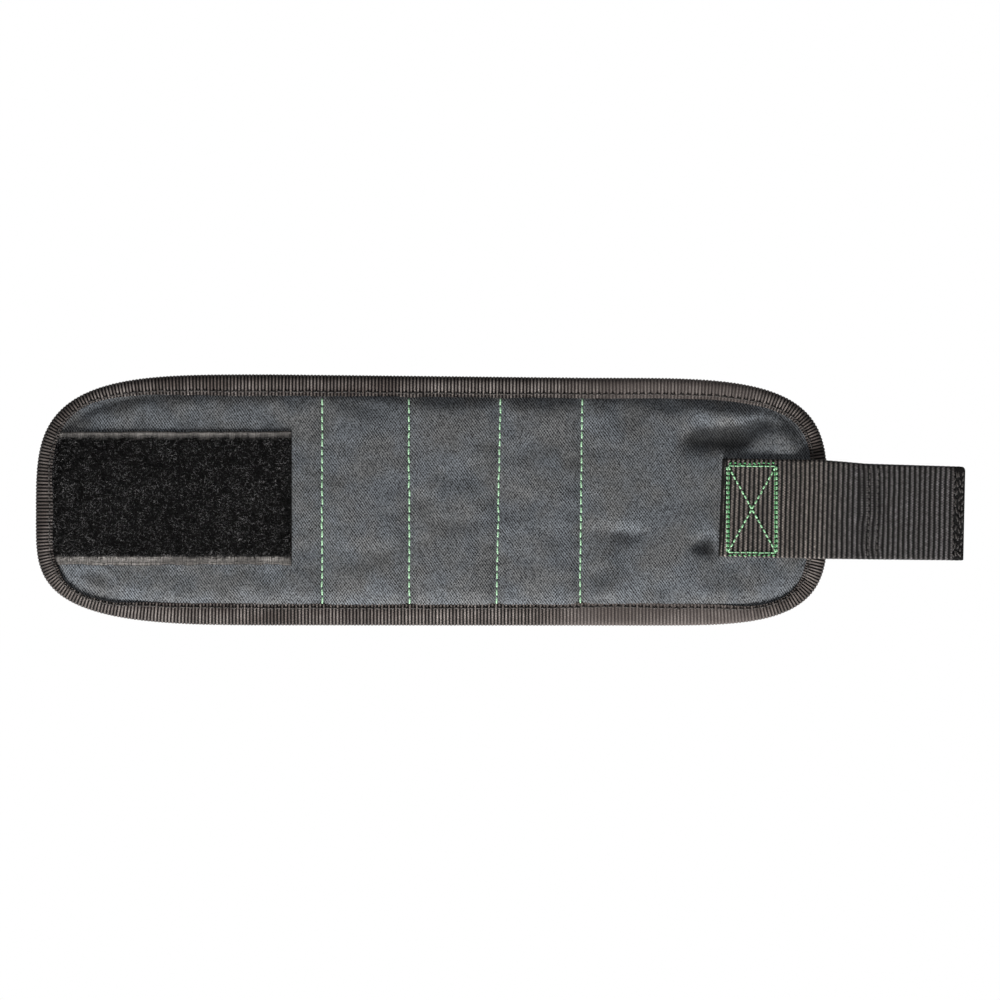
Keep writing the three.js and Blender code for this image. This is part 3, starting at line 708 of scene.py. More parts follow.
def mesh_lining():
    m = Look("lining_mesh", Sheen_Weight=0.12, Sheen_Roughness=0.5, Specular_IOR_Level=0.25)
    x, y = m.uv()
    hole = m.mark("hole")
    knit = m.wave(m.add(m.mul(y, 10 / 0.6), m.mul(m.wave(m.mul(x, 10 / 0.85)), 0.5)))
    fine = m.noise(m.vector(m.mul(x, 22.0), m.mul(y, 22.0)), 1.0, 3.0, 0.6)
    tone = m.noise(m.vector(x, y), 0.5, 3.0, 0.5)
    colour = m.mix(m.spread(m.add(m.mul(knit, 0.5), m.mul(fine, 0.5)), 0.2, 0.8), lin(24, 25, 27), lin(52, 53, 56))
    colour = m.mix(m.spread(tone, 0.35, 0.65, 0.25, 0.0), colour, lin(21, 21, 23))
    # painted shade: the mesh's holes darker down in their dimples
    colour = m.mix(m.spread(hole, 0.15, 0.85), colour, lin(8, 8, 9))
    return m.finish(colour, m.spread(fine, 0.2, 0.8, 0.98, 0.8), m.bump(m.add(knit, fine), 0.45, 0.00018))


def hook_look():
    m = Look("hook_tape", Specular_IOR_Level=0.5)
    u, v = m.uv()
    fine = m.noise(m.vector(m.mul(u, 12.0), m.mul(v, 12.0)), 1.0, 3.0, 0.6)
    rows = m.wave(m.mul(u, 10 / 0.6))
    colour = m.mix(m.spread(fine, 0.3, 0.7), lin(20, 20, 22), lin(52, 52, 56))
    colour = m.mix(m.mul(rows, 0.3), colour, lin(14, 14, 15))
    return m.finish(colour, m.spread(fine, 0.2, 0.8, 0.6, 0.38), m.bump(m.add(fine, rows), 0.3, 0.00012))


def solid_look(name, dark, light, scale, rough, metal, bump):
    """For the hard and foam pieces inside: object space, because those pieces stay whole."""
    m = Look(name, Metallic=metal)
    node = m.tree.nodes.new("ShaderNodeTexCoord")
    grain = m.noise(node.outputs["Object"], scale, 4.0, 0.6)
    broad = m.noise(node.outputs["Object"], scale * 0.12, 3.0, 0.5)
    share = m.add(m.mul(grain, 0.6), m.mul(broad, 0.4))
    colour = m.mix(m.spread(share, 0.35, 0.65), dark, light)
    return m.finish(colour, m.spread(grain, 0.3, 0.7, rough - 0.08, rough + 0.1), m.bump(grain, bump, 0.0002))


CLOTH, BINDING, WEBBING = face_cloth(), binding_tape(), webbing()
PILE, BACKING, LINING, HOOKS = pile(), loop_backing(), mesh_lining(), hook_look()
# each thread's first colour is the painted shade at the ends of its stitches
GREEN = thread("green_thread", lin(82, 116, 90), lin(108, 158, 116), lin(184, 220, 188), 0.55)
BOX = thread("box_thread", lin(30, 78, 42), lin(70, 142, 84), lin(172, 220, 178), 0.55)
DEEP = thread("deep_green_thread", lin(16, 54, 28), lin(36, 108, 56), lin(96, 172, 112), 0.5)
DARK = thread("dark_thread", lin(12, 11, 11), lin(22, 20, 20), lin(62, 57, 54), 0.5)
GREY = thread("grey_thread", lin(60, 57, 55), lin(78, 74, 71), lin(116, 111, 107), 0.7)
NICKEL = solid_look("magnet_plating", lin(168, 168, 170), lin(206, 206, 204), 900.0, 0.26, 1.0, 0.08)
FOAM = solid_look("carrier_foam", lin(44, 44, 46), lin(74, 74, 77), 1600.0, 0.92, 0.0, 0.6)

for node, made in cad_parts.items():
    look = FOAM if node.startswith("magnet_carrier") else NICKEL if node.startswith("magnet_") else None
    if look:
        made.data.materials.clear()
        made.data.materials.append(look)


def bend_at(piece):
    """Bakes the piece's placement into its mesh."""
    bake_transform(piece)


# ---------------------------------------------------------------- face cloth
def make_face():
    xs, cut = columns(0.95, [h for h in HINGES])
    ys = np.arange(-45.6, 45.61, 0.95)
    X, Y = np.meshgrid(xs, ys, indexing="ij")
    D = inside(X, Y)
    mask = D >= 3.4
    fold = wrinkles(X, Y, D)
    top = base_face(X, Y, D) + fold
    # share of painted shade in the deep folds, for the face material
    fold_shade = np.clip((-fold - 0.22) / 1.6, 0, 1)
    bounds = [0, *cut, len(xs) - 1]
    for k in range(8):
        a, b = bounds[k], bounds[k + 1] + 1
        xy = np.stack([X[a:b], Y[a:b]], -1)
        v, f, used = shell(xy, top[a:b], top[a:b] - 0.7, mask[a:b])
        fold_shade_values = np.tile(fold_shade[a:b].ravel(), 2)[used]
        piece = build(f"face_cloth_{k + 1}", v, [f], v[:, :2] / 10, CLOTH, sharp=55, marks={"fold_shade": fold_shade_values})
        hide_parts(f"face_{SEGMENTS[k]}", f"face_{SEGMENTS[k + 1]}")
        bend_at(piece)


# ---------------------------------------------------------------- mesh lining
def make_lining():
    pitch = 0.86
    xs, cut = columns(pitch * 0.866)
    rows = int(92 / pitch)
    i, j = np.meshgrid(np.arange(len(xs)), np.arange(rows), indexing="ij")
    X = xs[i]
    Y = (j + 0.5 * (i % 2)) * pitch - 45.9
    D = inside(X, Y)
    mask = D >= 4.2
    r = j - (i - (i % 2)) // 2
    hole = np.zeros(X.shape)
    hole[(i % 3 == 0) & (r % 3 == 0)] = 1.0
    ring = np.zeros(X.shape)
    for dq, dr in ((1, 0), (-1, 0), (0, 1), (0, -1), (1, -1), (-1, 1)):
        ring[((i + dq) % 3 == 0) & ((r + dr) % 3 == 0)] = 0.42
    hole = np.maximum(hole, ring)
    bottom = lining_bottom(X, Y, D) + 0.5 * hole * smooth((D - 7.0) / 2)
    pocket = smooth((X - SEAMS[0][0]) / 3) * smooth((SEAMS[3][0] - X) / 3)
    above = base_face(X, Y, D) + np.minimum(wrinkles(X, Y, D), 0) - 0.85
    top = np.where(pocket > 0, np.minimum(above, 1.75 + (1 - pocket) * 2), above)
    top = np.maximum(np.minimum(top, 3.25), bottom + 0.12)
    n = X.size
    at = lambda a, b: a * rows + b
    a, b = np.meshgrid(np.arange(len(xs) - 1), np.arange(rows - 1), indexing="ij")
    a, b = a.ravel(), b.ravel()
    even = a % 2 == 0
    one = np.where(even[:, None], np.stack([at(a, b), at(a + 1, b), at(a, b + 1)], 1),
                   np.stack([at(a, b), at(a + 1, b), at(a + 1, b + 1)], 1))
    two = np.where(even[:, None], np.stack([at(a + 1, b), at(a + 1, b + 1), at(a, b + 1)], 1),
                   np.stack([at(a, b), at(a + 1, b + 1), at(a, b + 1)], 1))
    tri = np.concatenate([one, two])
    column = np.concatenate([a, a])
    good = mask.ravel()[tri].all(1)
    tri, column = tri[good], column[good]
    flat = np.stack([X.ravel(), Y.ravel()], 1)
    bounds = [0, *cut, len(xs) - 1]
    for k in range(8):
        part = tri[(column >= bounds[k]) & (column < bounds[k + 1])]
        edges = np.concatenate([part[:, [0, 1]], part[:, [1, 2]], part[:, [2, 0]]])
        rim = edges[~np.isin(edges[:, 0] * n + edges[:, 1], edges[:, 1] * n + edges[:, 0])]
        walls = np.stack([rim[:, 1], rim[:, 0], rim[:, 0] + n, rim[:, 1] + n], 1)
        used = np.unique(np.concatenate([part.ravel(), part.ravel() + n]))
        number = np.full(2 * n, -1)
        number[used] = np.arange(len(used))
        points = np.concatenate([np.column_stack([flat, top.ravel()]), np.column_stack([flat, bottom.ravel()])])[used]
        holes = np.concatenate([np.zeros(n), hole.ravel()])[used]
        piece = build(f"mesh_lining_{k + 1}", points, [number[part], number[part[:, ::-1] + n], number[walls]],
                      points[:, :2] / 10, LINING, sharp=65, marks={"hole": holes})
        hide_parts(f"lining_{SEGMENTS[k]}", f"lining_{SEGMENTS[k + 1]}")
        bend_at(piece)


# ---------------------------------------------------------------- edge binding
RIBS = int(round(ROUND / RIB))
PITCH = ROUND / RIBS
RIB_SAMPLES = 6
# the tape's outside from the inner edge underneath, round the fold, to the inner edge on top
OUTER = np.array([(8.1, 0.20), (7.0, 0.16), (5.6, 0.16), (4.2, 0.16), (2.8, 0.18), (1.7, 0.25), (0.85, 0.48), (0.28, 0.92),
                  (0.05, 1.50), (0.25, 2.08), (0.80, 2.56), (1.7, 2.88), (2.8, 3.02), (4.2, 3.08), (5.6, 3.09),
                  (6.5, 3.04), (7.4, 3.09), (8.1, 3.02)])
INNER = np.array([(8.1, 0.52), (7.0, 0.54), (5.6, 0.55), (4.2, 0.55), (2.8, 0.60), (1.9, 0.70), (1.25, 0.95), (0.85, 1.22),
                  (0.72, 1.50), (0.85, 1.78), (1.25, 2.06), (1.9, 2.34), (2.8, 2.46), (4.2, 2.50), (5.6, 2.52),
                  (6.5, 2.52), (7.4, 2.54), (8.1, 2.56)])


# width of the top flap around the pad: place, width
FLAP = [(-175.1, -0.2, 6.6), (-171.7, 26.2, 5.6), (-166.5, 33.4, 4.8), (-155.7, 41.0, 4.7), (-148.5, 43.5, 5.2),
        (-137.0, 45.7, 6.2), (-119.6, 46.8, 7.6), (-98.1, 47.5, 8.2), (0.0, 47.7, 8.1), (44.2, 46.2, 7.8), (73.2,
        45.4, 7.6), (94.7, 43.2, 7.1), (112.8, 34.9, 6.1), (122.3, 21.9, 5.9), (123.8, -0.2, 6.4), (123.0, -23.6,
        7.1), (121.5, -29.2, 7.1), (117.2, -35.2, 6.4), (110.7, -40.2, 5.6), (102.0, -43.8, 5.3), (94.7, -45.6,
        5.9), (84.0, -46.7, 7.5), (73.2, -47.0, 8.2), (44.2, -47.7, 8.9), (0.0, -47.7, 8.2), (-112.5, -47.0, 8.2),
        (-134.0, -45.8, 7.2), (-146.4, -43.8, 5.2), (-159.2, -39.4, 4.6), (-166.5, -34.4, 5.2), (-170.9, -29.2, 6.4)]
_flap = sorted((LOOP_RUN[_tree.find((x, y, 0.0))[1]], w) for x, y, w in FLAP)
_flap_s = np.array([s for s, _ in _flap])
_flap_w = np.array([w for _, w in _flap])


def flap_width(s):
    s = np.asarray(s, float)
    width = np.interp(s, _flap_s, _flap_w, period=ROUND)
    return width + 0.16 * run_noise(np.mod(s, ROUND), 23, 41) + 0.12 * run_noise(np.mod(s, ROUND), 7, 42)


def flap_lift(s):
    """Over the end of the loop tape the top flap rides higher."""
    point, _ = on_loop(s)
    over = smooth((-160 - point[..., 0]) / 4) * smooth((point[..., 1] - LOOP_NEAR + 5) / 4) * smooth((LOOP_FAR + 5 - point[..., 1]) / 4)
    corner = np.exp(-((point[..., 0] + 171.0) / 7.0) ** 2 - ((point[..., 1] + 31.5) / 8.0) ** 2)
    tuck = np.exp(-((point[..., 1] + 20.5) / 1.1) ** 2) * (point[..., 0] < -160)
    return 0.62 * over + 0.80 * corner - 0.55 * tuck + 0.10 * run_noise(s, 17, 43) + 0.05 * run_noise(s, 6, 44)


def curl(s):
    """How sharply the edge turns, 0 to 1."""
    _, a = on_loop(s - 4)
    _, b = on_loop(s + 4)
    return np.clip(np.linalg.norm(b - a, axis=-1) / 8 / 0.03, 0, 1)


def section(s):
    """Outer and inner points of the tape at stations s: (stations, points, depth and height)."""
    width, lift, turn = flap_width(s)[:, None], flap_lift(s)[:, None], curl(s)[:, None]
    under = 8.0 + 0.3 * run_noise(s, 27, 45)[:, None]
    gather = 0.13 * turn * np.sin(2 * np.pi * (s[:, None] / 5.4 + 0.5 * run_noise(s, 13, 46)[:, None]))
    out = []
    for points in (OUTER, INNER):
        d, z = np.broadcast_to(points[:, 0], (len(s), len(points))).copy(), np.broadcast_to(points[:, 1], (len(s), len(points))).copy()
        upper = points[:, 1] > 1.5
        reach = np.where(upper[None, :], width, under)
        d = np.where(d > 2, 2 + (d - 2) * (reach - 2) / 6.1, d)
        high = smooth((d - 1.5) / 4.0) * upper[None, :]
        z = z + high * (lift + gather)
        out.append(np.stack([d, z], -1))
    return out


def make_binding():
    slope = np.gradient(OUTER, axis=0)
    normal = unit(np.stack([-slope[:, 1], slope[:, 0]], 1))         # out of the pad: left of the path
    if normal[8, 0] > 0:
        normal = -normal
    stitch_dent = np.where((np.abs(OUTER[:, 0] - 6.5) < 0.2), 0.45, 1.0)
    across = np.concatenate([[0], np.cumsum(np.linalg.norm(np.diff(OUTER, axis=0), axis=1))]) / 10
    far = [int(round(run_far(x) / PITCH)) for x in SPLITS]
    near = [int(round(run_near(x) / PITCH)) for x in SPLITS]

    def strip(first, last):
        n = (last - first) * RIB_SAMPLES + 1
        count = first + np.arange(n) / RIB_SAMPLES
        s = count * PITCH
        phase = count - np.floor(count)
        height = np.sin(np.pi * phase) ** 0.75
        point, inward = on_loop(s)
        outer, inner = section(s)
        rng = np.random.default_rng(5).normal(1, 0.16, RIBS + 2)
        size = rng[np.floor(count).astype(int) % RIBS]
        push = (height * 0.30 - 0.18)[:, None] * size[:, None] * stitch_dent[None, :]
        outer = outer + normal[None] * push[..., None]
        rows = []
        for part in (outer, inner):
            place = point[:, None, :] + inward[:, None, :] * part[..., :1]
            rows.append(np.concatenate([place, part[..., 1:]], -1))
        m = len(OUTER)
        ring = np.concatenate([rows[0], rows[1][:, ::-1]], 1)          # stations, 2m, 3
        at = np.arange(n * 2 * m).reshape(n, 2 * m)
        nxt = np.roll(at, -1, axis=1)
        quads = np.stack([at[:-1], nxt[:-1], nxt[1:], at[1:]], -1).reshape(-1, 4)
        k = np.arange(m - 1)
        cap = np.stack([k, k + 1, 2 * m - 2 - k, 2 * m - 1 - k], 1)
        faces = np.concatenate([quads, cap[:, ::-1], cap + at[-1, 0]])
        uv = np.stack([np.broadcast_to(count[:, None], (n, 2 * m)),
                       np.broadcast_to(np.concatenate([across, across[::-1]]), (n, 2 * m))], -1)
        ridge = np.concatenate([np.broadcast_to(height[:, None], (n, m)), np.full((n, m), 0.2)], 1)
        share = OUTER[:, 0] / 8.1
        depth = np.broadcast_to(np.concatenate([share, share[::-1]]), (n, 2 * m))
        # share by which the painted rib shade and highlight are weakened, along the band from about x = 5 to 112 mm
        weak_rib_shade = smooth((point[:, 0] - 5) / 40) * smooth((112 - point[:, 0]) / 25) * (0.75 + 0.25 * run_noise(s, 19, 47))
        weak_rib_shade = np.broadcast_to(weak_rib_shade[:, None], (n, 2 * m))
        return ring.reshape(-1, 3), [faces], uv.reshape(-1, 2), ridge.ravel(), depth.ravel(), weak_rib_shade.ravel()

    def thread_rows(first, last):
        s = np.arange(first * PITCH, last * PITCH + 0.01, 0.5)
        point, inward = on_loop(s)
        outer, _ = section(s)
        out = []
        for k, up, seed, radius, lift in ((15, 1, 61, 0.27, 0.7), (2, -1, 62, 0.20, 0.35)):
            place = point + inward * outer[:, k, :1]
            z = outer[:, k, 1] + up * 0.06 * (up > 0)
            out.append(stitches(np.column_stack([place, z]), (0, 0, up), 2.7, 0.78, radius, seed + first, rings=6, sides=6,
                                lift=lift, sink=0.5, wander=0.08, twist=None))
        return out

    for k in range(8):
        if k == 0:
            spans = [(near[0], RIBS + far[0])]
        elif k == 7:
            spans = [(far[6], near[6])]
        else:
            spans = [(far[k - 1], far[k]), (near[k], near[k - 1])]
        parts, depths, weak_rib_shade_parts, rows = [], [], [], []
        for a, b in spans:
            v, f, uv, ridge, depth, weak_rib_shade = strip(a, b)
            parts.append((v, f, uv, ridge))
            depths.append(depth)
            weak_rib_shade_parts.append(weak_rib_shade)
            rows += thread_rows(a, b)
        v, f, uv, ridge = joined(parts)
        piece = build(f"edge_binding_{k + 1}", v, f, uv, BINDING, sharp=70,
                      marks={"ridge": ridge, "depth": np.concatenate(depths), "weak_rib_shade": np.concatenate(weak_rib_shade_parts)})
        nodes = []
        for name in (SEGMENTS[k], SEGMENTS[k + 1]):
            nodes += [f"binding_{name}"] if name.endswith("_end") else [f"binding_far_{name}", f"binding_near_{name}"]
        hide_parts(*nodes)
        bend_at(piece)
        v, f, uv, bow = joined(rows)
        sewn = build(f"binding_stitches_{k + 1}", v, f, uv, DARK, marks={"bow": bow})
        bend_at(sewn)


# ---------------------------------------------------------------- loop tape
def make_loop_tape():
    left = -172.0
    split = SPLITS[0]
    step = 0.8
    first = np.linspace(left, split, int((split - left) / step) + 1)
    second = np.linspace(split, LOOP_RIGHT, int((LOOP_RIGHT - split) / step) + 1)
    edge = np.array([0.0, 0.12, 0.35, 0.7])
    ys = np.concatenate([LOOP_NEAR + edge, np.arange(LOOP_NEAR + 1.3, LOOP_FAR - 1.2, 0.75), (LOOP_FAR - edge)[::-1]])
    for k, xs in enumerate((first, second)):
        if k == 1:
            xs = np.concatenate([xs[:-1], LOOP_RIGHT - np.array([0.35, 0.12, 0.0])])
        X, Y = np.meshgrid(xs, ys, indexing="ij")
        border = np.minimum(np.minimum(Y - LOOP_NEAR, LOOP_FAR - Y), np.where(k == 1, LOOP_RIGHT - X, 9.0))
        Y = Y + (0.30 * value_noise(X, X * 0, 2.1, 58) + 0.26 * value_noise(X, X * 0, 6.5, 59)) * smooth((LOOP_NEAR + 2.0 - Y) / 2.0)
        Y = Y + (0.16 * value_noise(X, X * 0, 2.4, 48) + 0.12 * value_noise(X, X * 0, 7.5, 49)) * smooth((Y - LOOP_FAR + 2.0) / 2.0)
        D = inside(X, Y)
        base = base_face(X, Y, D) + 0.08
        thick = 0.62 * np.sqrt(np.clip(1 - (1 - np.clip(border / 0.5, 0, 1)) ** 2, 0.06, 1))
        rag = 0.32 * value_noise(X, Y, 1.6, 51) + 0.45 * value_noise(X, Y * 0, 2.3, 57)
        under = smooth((Y - LOOP_NEAR - 2.7 + rag) / 0.7) * smooth((LOOP_FAR - Y - 2.1 + rag) / 0.7)
        if k == 1:
            under = under * smooth((LOOP_RIGHT - X + 0.3) / 0.5)
        felt = under * (0.55 + 0.18 * value_noise(X, Y, 1.1, 52))
        weave = 0.03 * np.sin(2 * np.pi * X / 1.6) * (1 - under)
        top = base + thick + felt * smooth((D - 6.0) / 3.0) + weave
        v, f, used = shell(np.stack([X, Y], -1), top, base, D >= 5.2)
        marks = np.concatenate([under.ravel(), under.ravel() * 0])[used]
        # share of painted shade along the tape's edges and right end, and all over the underside
        cut = smooth((0.55 - border) / 0.4).ravel()
        cut = np.concatenate([cut, np.ones_like(cut)])[used]
        piece = build(f"loop_tape_{k + 1}", v, [f], v[:, :2] / 10, BACKING, sharp=60, marks={"ridge": marks, "cut": cut})
        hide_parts(*(("loop_tape_end", "loop_tape_mid") if k == 0 else ("loop_tape_mid", "loop_tape_inner")))
        bend_at(piece)

    # the pile: small arched loops of yarn
    rng = np.random.default_rng(77)
    step = 0.57
    gx, gy = np.meshgrid(np.arange(-170, LOOP_RIGHT - 0.2, step), np.arange(LOOP_NEAR + 2.7, LOOP_FAR - 2.0, step), indexing="ij")
    x = (gx + rng.uniform(-0.5, 0.5, gx.shape) * step * 1.3).ravel()
    y = (gy + rng.uniform(-0.5, 0.5, gy.shape) * step * 1.3).ravel()
    d = inside(x, y)
    fuzz = 0.35 * rng.normal(size=len(x)) + 0.45 * value_noise(x, y * 0, 2.3, 57)
    keep = (d > flap_inner(x, y) - 0.6) & (x < LOOP_RIGHT - 0.35 + 0.3 * np.minimum(fuzz, 0)) & (y > LOOP_NEAR + 3.0 + fuzz) & (y < LOOP_FAR - 2.3 + fuzz)
    x, y, d = x[keep], y[keep], d[keep]
    n = len(x)
    low = base_face(x, y, d) + 0.08 + 0.95
    turn = rng.uniform(0, np.pi, n)
    half = rng.uniform(0.24, 0.50, n)
    tall = (rng.uniform(0.34, 0.78, n) + 0.22 * value_noise(x, y, 1.25, 55)) * smooth((d - 6.0) / 2.5) + 0.1
    tall = np.minimum(tall, 6.02 - low)
    ahead = np.stack([np.cos(turn), np.sin(turn), np.zeros(n)], 1)
    lean = rng.normal(0, 0.30, (n, 2))
    rise = np.concatenate([lean, np.ones((n, 1))], 1)
    t = np.linspace(0, np.pi, 5)
    root = np.stack([x, y, low - 0.25], 1)
    path = root[:, None, :] - (half[:, None] * np.cos(t))[..., None] * ahead[:, None, :] \
        + ((tall + 0.25)[:, None] * np.sin(t))[..., None] * rise[:, None, :]
    flat = unit(np.cross(ahead, rise))
    thin = rng.uniform(0.075, 0.115, n)[:, None]
    v, faces, uv = tubes(path, flat, thin, thin, 3)
    clump = 0.60 * value_noise(x, y, 0.70, 61) + 0.30 * value_noise(x, y, 1.7, 60)
    broad = value_noise(x, y, 24, 56) - 0.010 * (y - 0.6)
    shade = np.repeat(np.clip(0.20 + 0.34 * rng.random(n) + 0.62 * clump + 0.10 * broad, 0, 1), 15)
    place = np.tile(np.repeat(np.sin(t), 3), n)
    uv = np.stack([shade, place], 1)
    for k, chosen in enumerate((x < split, x >= split)):
        which = np.nonzero(chosen)[0]
        number = np.full(n, -1)
        number[which] = np.arange(len(which))
        own = [f[chosen[f[:, 0] // 15]] for f in faces]
        own = [number[f // 15] * 15 + f % 15 for f in own]
        pick = chosen[np.arange(len(v)) // 15]
        piece = build(f"loop_pile_{k + 1}", v[pick], own, uv[pick], PILE)
        bend_at(piece)

    # dark thread along the tape's edges
    def level(points):
        points = np.asarray(points, float)
        d = inside(points[:, 0], points[:, 1])
        return np.column_stack([points, base_face(points[:, 0], points[:, 1], d) + 0.08 + 0.62])

    for k, (a, b) in enumerate(((-169.0, split), (split, LOOP_RIGHT - 1.0))):
        rows = []
        for j, y in enumerate((LOOP_NEAR + 0.9, LOOP_FAR - 0.6)):
            line = resample([(a, y), (b, y)], 0.8)
            line = line[inside(line[:, 0], line[:, 1]) > 6.0]
            rows.append(stitches(level(line), (0, 0, 1), 3.0, 0.8, 0.12, 71 + 5 * k + j, rings=6, sides=6, lift=0.3, twist=None))
        v, f, uv, bow = joined(rows)
        piece = build(f"loop_stitches_{k + 1}", v, f, uv, GREY, marks={"bow": bow})
        bend_at(piece)
    line = resample([(LOOP_RIGHT - 0.75, LOOP_NEAR + 1.2), (LOOP_RIGHT - 0.75, LOOP_FAR - 1.0)], 0.8)
    v, f, uv, bow = stitches(level(line), (0, 0, 1), 2.6, 0.84, 0.30, 79, rings=6, sides=6, twist=None)
    piece = build("loop_end_stitches", v, f, uv, DARK, marks={"bow": bow})
    bend_at(piece)


def flap_inner(x, y):
    """Width of the binding's top flap nearest to a point."""
    out = np.empty(len(x))
    s = np.empty(len(x))
    for k in range(len(x)):
        s[k] = LOOP_RUN[_tree.find((x[k], y[k], 0.0))[1]]
    return flap_width(s)


# ---------------------------------------------------------------- strap
def strap_edges(u):
    far = np.interp(u, (0, 38, 46, 54, STRAP_LENGTH), (18.5, 18.75, 18.3, 17.75, 17.4))
    near = np.interp(u, (0, 40, STRAP_LENGTH), (-18.35, -18.4, -17.9))
    corner = 1.6
    bite = np.clip(u - (STRAP_LENGTH - corner), 0, corner)
    cut = corner - np.sqrt(corner ** 2 - bite ** 2)
    return near + 0.25 * cut, far - cut


_rib_u = np.linspace(-3, STRAP_LENGTH + 3, 4000)
_rib_n = np.cumsum((_rib_u[1] - _rib_u[0]) / (STRAP_RIB[0] + (STRAP_RIB[1] - STRAP_RIB[0]) * smooth((_rib_u - 36) / 10)))
_rib_n -= np.interp(0.0, _rib_u, _rib_n)


def rib_number(u):
    return np.interp(u, _rib_u, _rib_n)


def rib_place(n):
    return np.interp(n, _rib_n, _rib_u)


def rib_height(number):
    """Height share of the strap's ribs, 0 in the groove to 1 on the ridge."""
    return np.abs(np.sin(np.pi * number)) ** 0.8


def strap_sample(u, v):
    """Ridge share, top and underside heights."""
    messy = smooth((u - 50.5) / 2.0) * smooth((62.5 - u) / 2.5)
    end = smooth((u - 87.2) / 0.8)
    number = rib_number(u) + 0.05 * value_noise(u, v, 9, 81) + 0.38 * messy * value_noise(u * 0.35, v, 6.5, 82)
    ridge = rib_height(number)
    ridge = ridge * (1 - 0.10 * messy * (0.6 + 0.6 * value_noise(u, v, 2.2, 85)))
    ridge = ridge * smooth((u - 0.35 + 0.3 * value_noise(v, v * 0, 2.0, 86)) / 1.0)      # the cut end is dark
    ridge = ridge * (1 - end * np.clip(0.80 + 0.45 * value_noise(u, v, 1.3, 83), 0, 1))
    box = np.maximum.reduce([np.exp(-((u - 2.4) / 0.8) ** 2), np.exp(-((u - 20.8) / 0.8) ** 2)]) * (np.abs(v) < 17)
    level = 5.72 - 0.14 * box + 0.05 * value_noise(u, v, 14, 84) + 0.16 * end
    top = level + 0.34 * (ridge - 0.6)
    return ridge, top, 4.42 - 0.10 * (ridge - 0.5)


def make_strap():
    ribs = [0.0, *[round(float(rib_number(u))) for u in STRAP_SPLITS], float(rib_number(STRAP_LENGTH))]
    nodes = ["strap_anchor", "strap_root", "strap_mid", "strap_tip"]
    share = np.concatenate([[0, 0.004, 0.011, 0.022], np.linspace(0.045, 0.955, 40), [0.978, 0.989, 0.996, 1]])
    for k in range(3):
        first, last = ribs[k], ribs[k + 1]
        numbers = np.arange(math.ceil(first * 8 + 0.01), math.ceil(last * 8 - 0.01)) / 8
        us = rib_place(np.concatenate([[first], numbers, [last]]))
        if k == 0:
            us = np.concatenate([[0.0, 0.06, 0.14], us[us > 0.18]])
        if k == 2:
            us = np.concatenate([us[us < STRAP_LENGTH - 0.18], STRAP_LENGTH - np.array([0.14, 0.06, 0.0])])
        a, b = us[0], us[-1]
        near, far = strap_edges(us)
        V = near[:, None] + (far - near)[:, None] * share[None, :]
        U = np.broadcast_to(us[:, None], V.shape).copy()
        ridge, top, bottom = strap_sample(U, V)
        border = np.minimum(V - near[:, None], far[:, None] - V)
        rounded = np.sqrt(np.clip(1 - (1 - np.clip(border / 0.75, 0, 1)) ** 2, 0.02, 1))
        tip = np.ones_like(us)
        if k == 0:
            tip = np.sqrt(np.clip(1 - (1 - np.clip(us / 0.6, 0, 1)) ** 2, 0.03, 1))
        if k == 2:
            tip = np.sqrt(np.clip(1 - (1 - np.clip((b - us) / 0.6, 0, 1)) ** 2, 0.03, 1))
        rounded = np.minimum(rounded, tip[:, None])
        middle = 5.05
        top = middle + (top - middle) * rounded
        bottom = middle + (bottom - middle) * rounded
        edge_wave = 0.10 * rib_height(rib_number(U)) * np.exp(-border / 0.6) * np.where(V > 0, 1, -1)
        skew = -0.75 * np.clip(0.5 - V / 37, 0, 1) * smooth((14 - U) / 14)
        x, y = strap_world(U + skew, V + edge_wave)
        v, f, used = shell(np.stack([x, y], -1), top, bottom, np.ones(U.shape, bool))
        flat = np.stack([rib_number(U).ravel(), V.ravel() / 10], 1)
        uv = np.concatenate([flat, flat])[used]
        marks = np.concatenate([ridge.ravel(), ridge.ravel()])[used]
        piece = build(f"strap_{k + 1}", v, [f], uv, WEBBING, sharp=75, marks={"ridge": marks})
        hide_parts(nodes[k], nodes[k + 1])
        strap_bend(piece)


def strap_bend(piece):
    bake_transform(piece)


